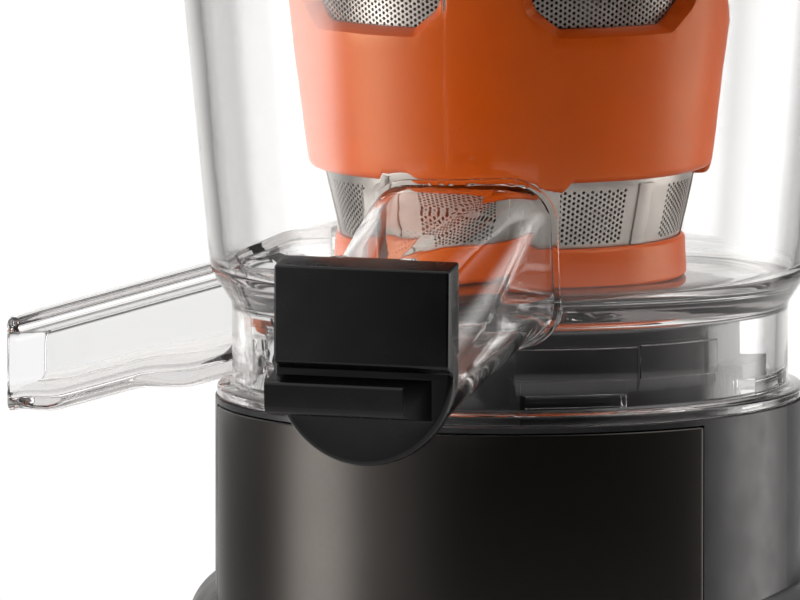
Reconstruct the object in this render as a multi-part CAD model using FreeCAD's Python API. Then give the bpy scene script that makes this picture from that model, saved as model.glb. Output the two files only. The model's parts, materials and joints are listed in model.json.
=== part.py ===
import FreeCAD, Part
import os, math

V = FreeCAD.Vector
os.makedirs("parts", exist_ok=True)

# ---------------------------------------------------------------- driving dimensions (mm)
RIM = 172.0            # height of the base rim that the bowl stands on
R_BASE = 67.0          # drum radius of the motor base
WALL = 3.0             # moulded wall of the base
PANEL_T = 1.7          # front panel thickness
SEAM = 61.5            # half angle of the front panel
FLARE_TOP = 131.0      # where the rear body swells out of the drum
FLARE_SHOULDER = 14.0  # height of its rounded shoulder
FLARE_C = 18.0         # how far the rear body's centre is set back
FLARE_R = 80.0         # its radius
BASE_Z0 = 4.0          # lower edge of the housing
FOOT_R0, FOOT_R1 = 57.0, 62.5
HUB_R = 52.0           # hub of the base inside the bowl skirt
HUB_TOP = RIM + 22.0
KNOB_AZ = 38.0         # knob direction, degrees from the front towards +X
KNOB_Z = 84.0
GEAR_C = 31.5          # gear centre distance
M1, Z1A, Z1B = 0.75, 14, 70
M2, Z2A, Z2B = 1.0, 12, 51
PRESS = 25.0           # pressure angle
FLOOR_U, FLOOR_T = RIM + 24.4, RIM + 27.4   # bowl floor, under side and top
BOWL_TOP = RIM + 137.0
BOWL_WALL = 3.8
SPOUT_X, SPOUT_Y = 14.2, -125.0             # middle of the spout's round end
SPOUT_Z = RIM + 19.6
SPOUT_R, SPOUT_RI = 19.8, 17.2
PIN_Y, PIN_Z, PIN_R = -123.6, RIM + 42.2, 1.1
CAP_R = 21.4
CHUTE_W, CHUTE_H, CHUTE_END = 13.0, 10.9, -118.0
TUBE_Y, TUBE_RI, TUBE_RO = 31.0, 20.2, 22.6  # feed tube
TUBE_TOP = 388.0


# ---------------------------------------------------------------- helpers
def path(pts, place):
    """closed wire through points (a, b[, fillet radius])"""
    n = len(pts)
    cuts = []
    for i in range(n):
        p = pts[i]
        a, b = pts[i - 1], pts[(i + 1) % n]
        rad = p[2] if len(p) > 2 else 0.0
        if rad <= 0:
            cuts.append((p[:2], None, p[:2]))
            continue
        ux, uy = a[0] - p[0], a[1] - p[1]
        vx, vy = b[0] - p[0], b[1] - p[1]
        lu, lv = math.hypot(ux, uy), math.hypot(vx, vy)
        ux, uy, vx, vy = ux / lu, uy / lu, vx / lv, vy / lv
        phi = math.acos(max(-1.0, min(1.0, ux * vx + uy * vy)))
        t = rad / math.tan(phi / 2)
        bx, by = ux + vx, uy + vy
        lb = math.hypot(bx, by)
        bx, by = bx / lb, by / lb
        k = rad / math.sin(phi / 2) - rad
        cuts.append(((p[0] + ux * t, p[1] + uy * t), (p[0] + bx * k, p[1] + by * k),
                     (p[0] + vx * t, p[1] + vy * t)))
    edges = []
    for i in range(n):
        s, m, e = cuts[i]
        if m is not None:
            edges.append(Part.Arc(place(*s), place(*m), place(*e)).toShape())
        nx = cuts[(i + 1) % n][0]
        if math.hypot(nx[0] - e[0], nx[1] - e[1]) > 1e-6:
            edges.append(Part.LineSegment(place(*e), place(*nx)).toShape())
    return Part.Wire(edges)


def rev(pts, cx=0.0, cy=0.0, a0=0.0, a1=360.0):
    """solid of revolution about a vertical axis from (radius, height) points"""
    ca, sa = math.cos(math.radians(a0)), math.sin(math.radians(a0))
    w = path(pts, lambda r, z: V(cx + r * ca, cy + r * sa, z))
    return Part.Face(w).revolve(V(cx, cy, 0), V(0, 0, 1), a1 - a0)


def ring(r0, r1, z0, z1, cx=0.0, cy=0.0, a0=0.0, a1=360.0):
    return rev([(r0, z0), (r1, z0), (r1, z1), (r0, z1)], cx, cy, a0, a1)


def cyl(r, z0, z1, x=0.0, y=0.0):
    return Part.makeCylinder(r, z1 - z0, V(x, y, z0))


def rod(r, p, d, length):
    return Part.makeCylinder(r, length, V(*p), V(*d))


def box(x0, x1, y0, y1, z0, z1):
    return Part.makeBox(x1 - x0, y1 - y0, z1 - z0, V(x0, y0, z0))


def prism_x(pts, x0, x1):
    """(y, z) outline drawn along X"""
    return Part.Face(path(pts, lambda y, z: V(x0, y, z))).extrude(V(x1 - x0, 0, 0))


def prism_y(pts, y0, y1):
    """(x, z) outline drawn along Y"""
    return Part.Face(path(pts, lambda x, z: V(x, y0, z))).extrude(V(0, y1 - y0, 0))


def prism_z(pts, z0, z1):
    """(x, y) outline drawn along Z"""
    return Part.Face(path(pts, lambda x, y: V(x, y, z0))).extrude(V(0, 0, z1 - z0))


def fuse(*s):
    s = [q for q in s if q is not None]
    return s[0].multiFuse(s[1:]).removeSplitter() if len(s) > 1 else s[0]


def turned(s, deg, cx=0.0, cy=0.0):
    s = s.copy()
    s.rotate(V(cx, cy, 0), V(0, 0, 1), deg)
    return s


def polar(r, deg):
    return r * math.cos(math.radians(deg)), r * math.sin(math.radians(deg))


def filleted(s, radius, pick):
    """round the chosen edges, or leave them where the kernel cannot"""
    try:
        e = [q for q in s.Edges if pick(q)]
        f = s.makeFillet(radius, e) if e else s
        return f if f.isValid() and f.Volume > 0 else s
    except Exception:
        return s


NODES = []


def save(name, *solids):
    out = []
    for s in solids:
        out += s.Solids if s.ShapeType in ("Compound", "CompSolid") else [s if s.ShapeType == "Solid" else s.Solids[0]]
    shape = out[0] if len(out) == 1 else Part.makeCompound(out)
    shape.exportStep("parts/%s.step" % name)
    NODES.append(name)
    print("%-22s solids %d  faces %5d  valid %s  cm3 %.2f" % (
        name, len(out), len(shape.Faces), shape.isValid(), shape.Volume / 1000), flush=True)
    return shape


# ---------------------------------------------------------------- base shells
def swell(off, top_off):
    """rear body: an upright drum set back from the main one, with a rounded shoulder"""
    c = Part.makeCylinder(FLARE_R - off, FLARE_TOP - top_off - BASE_Z0, V(0, FLARE_C, BASE_Z0))
    return filleted(c, FLARE_SHOULDER - off, lambda e: e.BoundBox.ZMin > FLARE_TOP - top_off - 0.1)


body_out = cyl(R_BASE, BASE_Z0, RIM).fuse(swell(0.0, 0.0))
front = ring(20.0, 110.0, BASE_Z0 - 1, FLARE_TOP + 1, a0=-90 - SEAM - 2.5, a1=-90 + SEAM + 2.5)
body_in = cyl(R_BASE - 4.0, BASE_Z0 - 1, RIM + 1).fuse(swell(WALL, WALL).cut(front))
pocket = ring(R_BASE - PANEL_T - 0.1, R_BASE + 12, 12.0, RIM - 1.2, a0=-90 - SEAM, a1=-90 + SEAM)
shell = body_out.cut(body_in).cut(pocket)
foot_screw = [polar(50.0, a) for a in (45, 135, 225, 315)]
deck_screw = [polar(57.5, a) for a in (45, 135, 225, 315)]
bosses = []
for (x, y), a in zip(foot_screw, (45, 135, 225, 315)):
    b = cyl(4.0, 8.2, 26.0, x, y)
    rib = turned(box(50, 64.5 if a > 180 else 89.5, -1.2, 1.2, 8.2, 26.0), a)
    bosses.append(b.fuse(rib).cut(cyl(1.5, 0, 22, x, y)))
for (x, y), a in zip(deck_screw, (45, 135, 225, 315)):
    b = cyl(4.0, 152.0, RIM - 4.2, x, y)
    rib = turned(box(57.5, 64.5, -1.2, 1.2, 152.0, RIM - 4.2), a)
    bosses.append(b.fuse(rib).cut(cyl(1.5, 155, RIM, x, y)))
shell = fuse(shell, *bosses)
REAR_Y = FLARE_C + FLARE_R             # outer face of the rear wall at the gland
for k in range(8):
    z = 62.0 + 6.2 * k
    shell = shell.cut(filleted(box(-27, 27, 80, 110, z, z + 2.6), 1.2, lambda e: abs(e.tangentAt(e.FirstParameter).y) > 0.9))
shell = shell.cut(rod(8.3, (0, 70, 24), (0, 1, 0), 40))
kn = (math.sin(math.radians(KNOB_AZ)), -math.cos(math.radians(KNOB_AZ)), 0)
shell = shell.cut(rod(6.5, (0, 0, KNOB_Z), kn, 80))
save("base_housing", shell)

panel = ring(R_BASE - PANEL_T, R_BASE, 12.3, RIM - 1.5, a0=-90 - SEAM + 0.25, a1=-90 + SEAM - 0.25)
panel = panel.cut(rod(6.5, (0, 0, KNOB_Z), kn, 80))
save("front_panel", panel)

back = Part.makeCylinder(FLARE_R - WALL - 0.25, 3.6, V(0, FLARE_C, 4.2))
back = back.cut(ring(20.0, 110.0, 4.0, 8.0, a0=-90 - SEAM - 2.9, a1=-90 + SEAM + 2.9))
plate = cyl(R_BASE - 4.2, 4.2, 7.8).fuse(back)
plate = plate.cut(ring(FOOT_R0 - 0.05, FOOT_R1 + 0.05, 0, 6.0))
for (x, y) in foot_screw:
    plate = plate.cut(cyl(1.8, 0, 10, x, y)).cut(cyl(3.4, 0, 6.4, x, y))
for k in range(7):
    y = -24 + 8.0 * k
    plate = plate.cut(box(-30, 30, y - 1.5, y + 1.5, 0, 10))
save("bottom_plate", plate)
save("foot_ring", rev([(FOOT_R0, 0.0, 0.8), (FOOT_R1, 0.0, 0.8), (FOOT_R1, 6.0), (FOOT_R0, 6.0)]))


def screw(x, y, z_head, shank_r, length, head_r, head_h, up=True):
    """pan-head screw; up: the head is below and the shank points up"""
    s = 1 if up else -1
    head = Part.makeCylinder(head_r, head_h, V(x, y, z_head), V(0, 0, -s))
    shank = Part.makeCylinder(shank_r, length, V(x, y, z_head), V(0, 0, s))
    cross = Part.makeBox(head_r * 1.2, 0.8, 0.9, V(x - head_r * 0.6, y - 0.4, 0)).fuse(
        Part.makeBox(0.8, head_r * 1.2, 0.9, V(x - 0.4, y - head_r * 0.6, 0)))
    cross.translate(V(0, 0, z_head - s * head_h - (0 if up else 0.9) + (0 if up else 0)))
    if up:
        cross.translate(V(0, 0, 0))
    return head.fuse(shank).cut(cross)


save("bottom_screws", *[screw(x, y, 6.4, 1.5, 13.0, 3.1, 2.0) for x, y in foot_screw])

# ---------------------------------------------------------------- top deck with hub and bayonet tabs
deck = rev([(49.0, RIM - 4.0), (R_BASE - 4.15, RIM - 4.0), (R_BASE - 4.15, RIM - 0.1), (HUB_R + 0.5, RIM - 0.1, 0.8),
            (HUB_R, HUB_TOP, 2.0), (14.05, HUB_TOP), (14.05, HUB_TOP - 5), (16.05, HUB_TOP - 5),
            (16.05, HUB_TOP - 17), (20, HUB_TOP - 17), (20, HUB_TOP - 3.2), (49, HUB_TOP - 3.2)])
TABS = [245, 305, 5, 65, 125]
for a in TABS:
    deck = deck.fuse(ring(HUB_R - 1.0, 58.2, RIM + 6.6, RIM + 9.8, a0=a - 12, a1=a + 12))
    deck = deck.fuse(ring(HUB_R - 1.0, 55.0, RIM - 1.0, RIM + 9.8, a0=a - 14.5, a1=a - 12))
for (x, y) in deck_screw:
    deck = deck.cut(cyl(1.8, 160, RIM + 1, x, y)).cut(cyl(3.3, RIM - 2.3, RIM + 1, x, y))
POSTS = [(20, 50.0), (160, 50.0), (270, 50.0)]
for a, r in POSTS:
    x, y = polar(r, a)
    deck = deck.fuse(cyl(5.0, 142.2, RIM - 3.5, x, y)).cut(cyl(1.5, 130, 158, x, y))
mx, my = polar(57.0, 205)
deck = deck.removeSplitter()
save("top_deck", deck)
save("deck_screws", *[screw(x, y, RIM - 2.3, 1.5, 11.0, 3.0, 1.8, up=False) for x, y in deck_screw])

seal = rev([(6.1, HUB_TOP - 1.2), (7.2, HUB_TOP - 4.9), (14.0, HUB_TOP - 4.9), (14.0, HUB_TOP - 0.3), (9.0, HUB_TOP - 0.3), (8.0, HUB_TOP - 2.0)])
save("shaft_seal", seal)


def bearing(ri, ro, z0, z1):
    """shielded bearing drawn as one ring with its shield steps"""
    d = (ro - ri) * 0.22
    return rev([(ri, z0), (ri + d, z0), (ri + d, z0 + 0.6), (ro - d, z0 + 0.6), (ro - d, z0), (ro, z0),
                (ro, z1), (ro - d, z1), (ro - d, z1 - 0.6), (ri + d, z1 - 0.6), (ri + d, z1), (ri, z1)])


save("output_bearings", bearing(6.05, 16.0, HUB_TOP - 15.5, HUB_TOP - 5.05), bearing(6.05, 16.0, 136.8, 146.8))

# ---------------------------------------------------------------- gearbox
def plan(r_main, r_idler, z0, z1):
    """egg-shaped outline round the main and the idler axis"""
    d = GEAR_C
    k = (r_main - r_idler) / d
    a = math.asin(k)
    ca, sa = math.cos(a), math.sin(a)
    p1, p2 = (r_main * ca, r_main * sa), (r_idler * ca, d + r_idler * sa)
    e = [Part.LineSegment(V(p1[0], p1[1], z0), V(p2[0], p2[1], z0)).toShape(),
         Part.Arc(V(p2[0], p2[1], z0), V(0, d + r_idler, z0), V(-p2[0], p2[1], z0)).toShape(),
         Part.LineSegment(V(-p2[0], p2[1], z0), V(-p1[0], p1[1], z0)).toShape(),
         Part.Arc(V(-p1[0], p1[1], z0), V(0, -r_main, z0), V(p1[0], p1[1], z0)).toShape()]
    return Part.Face(Part.Wire(e)).extrude(V(0, 0, z1 - z0))


case = plan(33.0, 30.0, 100.0, 136.0).cut(plan(30.4, 27.8, 104.0, 140.0))
case = case.fuse(cyl(7.0, 103.5, 106.6, 0, GEAR_C)).cut(cyl(3.0, 102.0, 140.0, 0, GEAR_C))
case = case.cut(cyl(5.2, 90, 110))
case = case.cut(cyl(8.1, 99, 102.6))
cover_scr = [(33.2, -6), (-33.2, -6), (33.2, 36), (-33.2, 36), (12, -34.5), (-12, -34.5)]
cover_scr = [polar(35.6, a) for a in (-15, 195, 240, 300)] + [(33.2, 26.0), (-33.2, 26.0)]
for x, y in cover_scr:
    case = case.fuse(cyl(3.6, 112.0, 136.0, x, y)).cut(cyl(1.3, 118, 137, x, y))
case = case.cut(plan(30.4, 27.8, 104.0, 136.0).cut(cyl(7.0, 103.9, 106.6, 0, GEAR_C)))
for a, r in POSTS:
    x, y = polar(r, a)
    case = case.fuse(turned(box(31.5, r, -4.5, 4.5, 131.0, 136.0), a).fuse(cyl(6.0, 131.0, 136.0, x, y)))
    case = case.cut(cyl(2.0, 120, 150, x, y))
case = case.cut(plan(30.4, 27.8, 107.0, 140.0))
save("gearbox_case", case)
cover = plan(33.0, 30.0, 136.1, 140.0)
for x, y in cover_scr:
    cover = cover.fuse(cyl(3.6, 136.1, 140.0, x, y)).cut(cyl(1.6, 130, 150, x, y))
cover = cover.fuse(cyl(19.0, 136.1, 147.4)).cut(cyl(16.05, 136.0, 146.9)).cut(cyl(9.0, 130, 150))
cover = cover.fuse(cyl(6.5, 136.1, 141.0, 0, GEAR_C)).cut(cyl(3.0, 130, 139.0, 0, GEAR_C))
for a, r in POSTS:
    x, y = polar(r, a)
    cover = cover.cut(cyl(7.2, 130, 150, x, y))
save("gearbox_cover", cover)
save("gearbox_screws", *[screw(x, y, 140.0, 1.3, 14.0, 2.8, 1.8, up=False) for x, y in cover_scr])
save("vibration_mounts", *[ring(2.1, 5.0, 136.1, 142.1, *polar(r, a)) for a, r in POSTS])
save("mount_screws", *[screw(*polar(r, a), 131.0, 1.5, 24.0, 3.4, 2.0) for a, r in POSTS])
save("idler_pin", cyl(2.95, 102.1, 138.9, 0, GEAR_C))


def inv(a):
    return math.tan(a) - a


def gear(m, z, bore, z0, z1, first, cx=0.0, cy=0.0, add=0.8, ded=1.05, back=0.16):
    """spur gear with involute flanks, one tooth centred on the angle first"""
    rp, al = m * z / 2.0, math.radians(PRESS)
    rb, ra, rf = rp * math.cos(al), rp + add * m, rp - ded * m
    half = (math.pi * m / 4 - back / 2) / rp + inv(al)
    r0 = max(rb + 1e-4, rf)
    rs = [r0 + (ra - r0) * t for t in (0.0, 0.35, 0.7, 1.0)]
    flank = [(r, half - inv(math.acos(min(1.0, rb / r)))) for r in rs]
    if rf < r0 - 1e-3:
        flank = [(rf, flank[0][1])] + flank
    pts = []
    for k in range(z):
        c = math.radians(first) + 2 * math.pi * k / z
        for r, h in flank:
            pts.append((cx + r * math.cos(c - h), cy + r * math.sin(c - h)))
        for r, h in reversed(flank):
            pts.append((cx + r * math.cos(c + h), cy + r * math.sin(c + h)))
    w = Part.makePolygon([V(x, y, z0) for x, y in pts + pts[:1]])
    g = Part.Face(w).extrude(V(0, 0, z1 - z0))
    return g.cut(cyl(bore, z0 - 1, z1 + 1, cx, cy)) if bore else g


save("motor_pinion", gear(M1, Z1A, 3.0, 106.0, 116.3, 90.0))
ig = gear(M1, Z1B, 8.0, 107.2, 115.0, -90.0 + 180.0 / Z1B, 0, GEAR_C)
for k in range(6):
    x, y = polar(17.0, 60 * k)
    ig = ig.cut(cyl(4.6, 100, 120, x, y + GEAR_C))
save("idler_gear", ig)
ip = gear(M2, Z2A, 0, 115.0, 133.5, -90.0 + 180.0 / Z2A, 0, GEAR_C).fuse(cyl(7.9, 106.9, 115.0, 0, GEAR_C))
ip = ip.cut(cyl(3.0, 100, 140, 0, GEAR_C))
save("idler_pinion", ip)
og = gear(M2, Z2B, 6.0, 118.0, 132.0, 90.0)
og = og.fuse(ring(6.0, 10.0, 117.6, 135.5))
web = ring(11.0, 21.5, 117.0, 121.5).fuse(ring(11.0, 21.5, 128.5, 133.0))
og = og.cut(web)
save("output_gear", og)

# ---------------------------------------------------------------- motor
stack = cyl(42.0, 42.0, 84.0).cut(cyl(22.0, 40, 90))
for k in range(8):
    a = 45.0 * k + 22.5
    slot = turned(box(21.0, 26.0, -1.6, 1.6, 40, 90), a).fuse(turned(box(24.5, 34.0, -5.2, 5.2, 40, 90), a))
    stack = stack.cut(slot)
for k in range(4):
    stack = stack.cut(cyl(2.1, 40, 90, *polar(38.5, 90 * k)))
stack = stack.cut(box(-60, 60, 39.5, 60, 40, 90)).cut(box(-60, 60, -60, -39.5, 40, 90))
save("motor_stator", stack)
wind = [rev([(24.6, z0, 2.0), (34.0, z0, 2.0), (34.0, z0 + 7.6, 2.0), (24.6, z0 + 7.6, 2.0)]) for z0 in (34.2, 84.2)]
save("stator_windings", *wind)


def bracket(z0, z1, zb0, zb1):
    b = ring(11.2, 41.5, z0, z1)
    for k in range(6):
        b = b.cut(turned(ring(16.0, 33.0, z0 - 1, z1 + 1, a0=-17, a1=17), 60 * k))
    b = b.fuse(ring(8.1, 12.0, zb0, zb1))
    legs = [cyl(4.0, min(z0, 42.0) if z0 < 60 else 84.05, 41.95 if z0 < 60 else z1, *polar(38.5, 90 * k)) for k in range(4)]
    for l in legs:
        b = b.fuse(l)
    for k in range(4):
        b = b.cut(cyl(2.1, 10, 110, *polar(38.5, 90 * k)))
    return b.cut(ring(41.5, 60, 10, 110))


save("motor_bracket_lower", bracket(28.0, 31.0, 26.0, 34.0))
save("motor_bracket_upper", bracket(96.4, 99.9, 92.5, 99.9))
save("motor_bolts", *[screw(*polar(38.5, 90 * k), 28.0, 1.9, 72.0 - 4.0, 3.5, 2.2) for k in range(4)])
save("motor_bearings", ring(4.05, 8.05, 27.0, 33.5), ring(4.05, 8.05, 93.0, 99.4))
shaft = fuse(cyl(4.0, 10.0, 105.9), cyl(3.0, 105.0, 116.8), cyl(6.0, 34.2, 41.9), cyl(6.0, 84.1, 92.3))
save("motor_shaft", shaft)
core = cyl(21.5, 42.0, 84.0).cut(cyl(4.0, 40, 90))
for k in range(16):
    core = core.cut(turned(box(20.6, 22.5, -0.7, 0.7, 40, 90), 22.5 * k + 6))
save("rotor_core", core)
fan = ring(4.0, 9.0, 12.5, 24.5).fuse(ring(9.0 - 1, 33.0, 22.6, 24.5))
for k in range(11):
    blade = turned(box(10.0, 32.5, -0.9, 0.9, 12.5, 23.0), 360.0 / 11 * k)
    fan = fan.fuse(blade)
save("cooling_fan", fan.removeSplitter())

# ---------------------------------------------------------------- controls and electrics
brd = fuse(box(-34, 34, 70.0, 71.6, 30, 96))
parts_on = [box(-28, -10, 60.0, 70.0, 36, 48), cyl(7.5, 55, 84, 18, 62.0), box(-26, -8, 63.0, 70.0, 60, 70),
            box(-4, 6, 63.0, 70.0, 36, 46), box(-28, 2, 62.0, 70.0, 80, 90), box(10, 26, 64.0, 70.0, 36, 48)]
parts_on[1] = cyl(7.4, 55, 86, 19, 63.0)
brd = fuse(brd, *parts_on)
for x, z in ((-31, 33), (31, 33), (-31, 93), (31, 93)):
    brd = brd.cut(rod(1.6, (x, 60, z), (0, 1, 0), 20))
save("control_board", brd)


def radial(shape, z=KNOB_Z):
    """carry a shape drawn along +X at height 0 to the knob's direction"""
    s = shape.copy()
    s.rotate(V(0, 0, 0), V(0, 0, 1), KNOB_AZ - 90.0)
    s.translate(V(0, 0, z))
    return s


rx = lambda r, a, b: Part.makeCylinder(r, b - a, V(a, 0, 0), V(1, 0, 0))
sw = box(47.5, 60.5, -11, 11, -11, 11).fuse(rx(6.2, 60.5, 65.6)).cut(rx(3.1, 50.0, 70))
for k in (-7, 0, 7):
    sw = sw.fuse(box(45.6, 47.6, k - 1.2, k + 1.2, -13.5, -6))
save("selector_switch", radial(sw))
save("knob_shaft", radial(rx(3.0, 50.2, 76.0).cut(box(70, 80, 1.4, 5, -5, 5))))
bez = rx(21.5, 64.0, 69.2).cut(rx(17.9, 60, 80)).fuse(rx(18.0, 64.0, 67.9).cut(rx(6.4, 60, 80)))
bez = bez.cut(radial(cyl(R_BASE + 0.05, -40, 40), 0))
bz = rx(21.5, 60.0, 69.2).cut(rx(17.9, 68.0, 80)).cut(rx(6.6, 50, 80)).cut(cyl(R_BASE + 0.05, -40, 40))
save("knob_bezel", radial(bz))
knob = rx(17.2, 68.5, 84.5).cut(rx(15.0, 60, 70.2))
knob = knob.fuse(rx(5.5, 68.6, 80))
kn0 = Part.makeCylinder(17.2, 16.0, V(68.5, 0, 0), V(1, 0, 0))
kn0 = filleted(kn0, 1.6, lambda e: e.BoundBox.XMin > 84)
for s in (1, -1):
    kn0 = kn0.cut(box(74.0, 90, s * 4.0 if s > 0 else -40, 40 if s > 0 else -4.0, -40, 40))
kn0 = kn0.fuse(rx(17.2, 68.5, 74.2)).cut(rx(3.05, 60, 76.6).cut(box(70, 80, 1.45, 5, -5, 5)))
kn0 = kn0.cut(box(83.6, 90, -0.9, 0.9, 6.0, 18.0))
save("selector_knob", radial(kn0))

gland = fuse(rod(11.0, (0, REAR_Y + 0.3, 24), (0, 1, 0), 3.0), rod(8.1, (0, REAR_Y - 8.0, 24), (0, 1, 0), 9.0),
             rod(6.6, (0, REAR_Y + 3.0, 24), (0, 1, 0), 9.0))
gland = gland.cut(rod(3.6, (0, REAR_Y - 20, 24), (0, 1, 0), 60))
gnut = rod(11.5, (0, REAR_Y - 7.6, 24), (0, 1, 0), 3.6).cut(rod(8.1, (0, REAR_Y - 20, 24), (0, 1, 0), 60))
save("cord_gland", gland.fuse(gnut).removeSplitter())
print("gland", REAR_Y)
isw = turned(box(38.0, 47.8, -9.5, 9.5, 176.0, 184.0).fuse(box(40, 42.6, -2, 2, 184.0, 186.0)), 205)
save("interlock_switch", isw)

# ---------------------------------------------------------------- drive shaft and auger
hexagon = [(5.0 / math.cos(math.radians(30)) * math.cos(math.radians(60 * k)),
            5.0 / math.cos(math.radians(30)) * math.sin(math.radians(60 * k))) for k in range(6)]
dsh = cyl(6.0, 117.4, RIM + 26.0).fuse(prism_z(hexagon, RIM + 25.0, RIM + 42.0))
dsh = dsh.cut(ring(5.5, 8.0, RIM + 41.3, RIM + 44.0))
save("drive_shaft", dsh)


def mesh_r(z):
    """outer radius of the strainer's steel sheet at a height"""
    t = [(29.0, 36.4), (37.0, 38.2), (51.0, 41.4), (87.5, 46.0), (125.0, 50.6)]
    q = z - RIM
    for (a, ra), (b, rb) in zip(t, t[1:]):
        if q <= b:
            return ra + (rb - ra) * (q - a) / (b - a)
    return t[-1][1]


def screw_body(z0, z1, core_r, tip_r, pitch, starts, thick, nu=64, step=1.6, lead=0.0):
    """one periodic surface: a core with helical flights, closed by flat ends"""
    nv = int((z1 - z0) / step) + 1
    grid = []
    for j in range(nv):
        z = z0 + (z1 - z0) * j / (nv - 1)
        row = []
        for i in range(nu):
            a = 2 * math.pi * i / nu
            ph = a - 2 * math.pi * (z - z0) / pitch - lead
            ph = (ph * starts) % (2 * math.pi)
            ph = min(ph, 2 * math.pi - ph) / starts
            arc = thick / pitch * 2 * math.pi / 2.0
            w = 1.0 / (1.0 + (ph / arc) ** 6)
            fade = min(1.0, (z1 - z) / 7.0, 1.0)
            r = core_r(z) + (tip_r(z) - core_r(z)) * w * max(0.0, fade)
            row.append(V(r * math.cos(a), r * math.sin(a), z))
        grid.append(row)
    poles = [[grid[j][i] for j in range(nv)] for i in range(nu)]
    uk = list(range(nu + 1))
    vk = list(range(nv - 2))
    vm = [4] + [1] * (nv - 4) + [4]
    surf = Part.BSplineSurface()
    surf.buildFromPolesMultsKnots(poles, [1] * (nu + 1), vm, uk, vk, True, False, 3, 3)
    side = surf.toShape()
    caps = []
    for e in side.Edges:
        if e.isClosed() and e.BoundBox.ZLength < 1e-3:
            caps.append(Part.Face(Part.Wire([e])))
    sh = Part.makeShell([side] + caps)
    sh.sewShape()
    return Part.makeSolid(sh)


aug = screw_body(RIM + 35.0, RIM + 122.0, lambda z: 25.5 - 8.0 * (z - RIM - 35.0) / 87.0,
                 lambda z: min(mesh_r(z) - 1.5, 34.0 + max(0.0, z - RIM - 38.5) * 0.9, 46.0), 46.0, 2, 6.0)
print("auger flight", aug.isValid(), aug.Volume)
lower = rev([(0, RIM + 35.2), (0, RIM + 30.2), (10.0, RIM + 30.2), (33.5, RIM + 30.2, 1.0), (34.6, RIM + 36.5, 1.0), (20.0, RIM + 36.5)])
neck = cyl(9.9, RIM + 26.6, RIM + 31.0)
aug = aug.fuse(lower).fuse(neck)
hexs = [(x * 5.06 / 5.0, y * 5.06 / 5.0) for x, y in hexagon]
aug = aug.cut(prism_z(hexs, RIM + 20.0, RIM + 43.0)).cut(cyl(3.0, RIM + 112.0, RIM + 123.0))
save("auger", aug)
save("auger_pin", cyl(3.0, RIM + 112.0, RIM + 122.0).fuse(cyl(4.0, RIM + 122.0, RIM + 134.0)))

# ---------------------------------------------------------------- strainer
mesh = rev([(mesh_r(RIM + 36.0) - 0.6, RIM + 36.0), (mesh_r(RIM + 36.0), RIM + 36.0), (38.2, RIM + 37.0), (41.4, RIM + 51.0),
            (46.0, RIM + 87.5), (50.3, RIM + 122.5), (49.7, RIM + 122.5), (45.4, RIM + 87.5), (40.8, RIM + 51.0), (37.6, RIM + 37.0)])
save("strainer_mesh", mesh)
bring = rev([(35.9, RIM + 27.6), (40.2, RIM + 27.6, 1.0), (39.6, RIM + 37.4, 0.9), (38.5, RIM + 37.4), (38.5, RIM + 35.9),
             (35.9, RIM + 35.9)])
bring = bring.cut(box(-50, -30, -9.5, 9.5, RIM + 29.0, RIM + 34.8))
save("strainer_bottom_ring", bring)
band = rev([(42.0, RIM + 52.9, 0.0), (45.6, RIM + 52.9, 2.8), (50.0, RIM + 87.5, 0.6), (46.3, RIM + 87.5)])
top_ring = rev([(49.2, RIM + 111.5), (53.0, RIM + 111.5, 0.6), (54.6, RIM + 125.0, 1.0), (50.9, RIM + 125.0), (50.6, RIM + 122.7), (49.8, RIM + 122.7), (50.45, RIM + 122.6)])
top_ring = rev([(49.15, RIM + 111.5), (52.9, RIM + 111.5, 0.6), (54.6, RIM + 125.0, 1.0), (50.6, RIM + 125.0), (50.6, RIM + 122.7)])
COL0 = -76.0
band = fuse(band, top_ring)
for k in range(5):
    a = COL0 + 72 * k
    col = rev([(45.7, RIM + 86.0), (49.8, RIM + 86.0), (53.0, RIM + 113.0), (48.8, RIM + 113.0)], a0=a - 19.5, a1=a + 19.5)
    band = band.fuse(col)
for k in range(3):
    a = -75.6 + 120 * k
    tab = rev([(41.6, RIM + 50.7), (45.3, RIM + 50.7, 1.6), (45.9, RIM + 55.5), (42.2, RIM + 55.5)], a0=a - 24, a1=a + 24)
    band = band.fuse(tab)
inside = rev([(0, RIM + 45), (mesh_r(RIM + 45) + 0.05, RIM + 45), (41.45, RIM + 51.0), (46.05, RIM + 87.5), (50.36, RIM + 122.6), (50.36, RIM + 122.65), (0, RIM + 122.65)])
band = band.cut(inside).removeSplitter()
save("strainer_band", band)

# ---------------------------------------------------------------- bowl
def wall_r(z):
    """outer radius of the bowl's clear wall"""
    q = z - RIM
    return 68.4 + (q - 32.0) * 0.0958


bowl = rev([(13.2, FLOOR_U), (57.5, FLOOR_U, 1.5), (60.4, RIM + 22.0, 2.0), (60.4, RIM + 0.15), (66.6, RIM + 0.15, 0.6),
            (66.6, RIM + 2.6, 0.8), (63.2, RIM + 3.2, 1.2), (63.2, RIM + 21.5, 5.0), (68.0, RIM + 28.8, 4.0), (wall_r(RIM + 36), RIM + 36.0),
            (wall_r(BOWL_TOP), BOWL_TOP, 1.2), (wall_r(BOWL_TOP) - BOWL_WALL, BOWL_TOP, 1.2), (wall_r(RIM + 32) - BOWL_WALL, FLOOR_T, 5.0),
            (17.0, FLOOR_T, 1.0), (17.0, RIM + 29.4), (13.2, RIM + 29.4)])
chamber = rev([(0, FLOOR_T), (wall_r(RIM + 32) - BOWL_WALL, FLOOR_T, 5.0), (wall_r(BOWL_TOP) - BOWL_WALL, BOWL_TOP, 0), (0, BOWL_TOP)])


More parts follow.
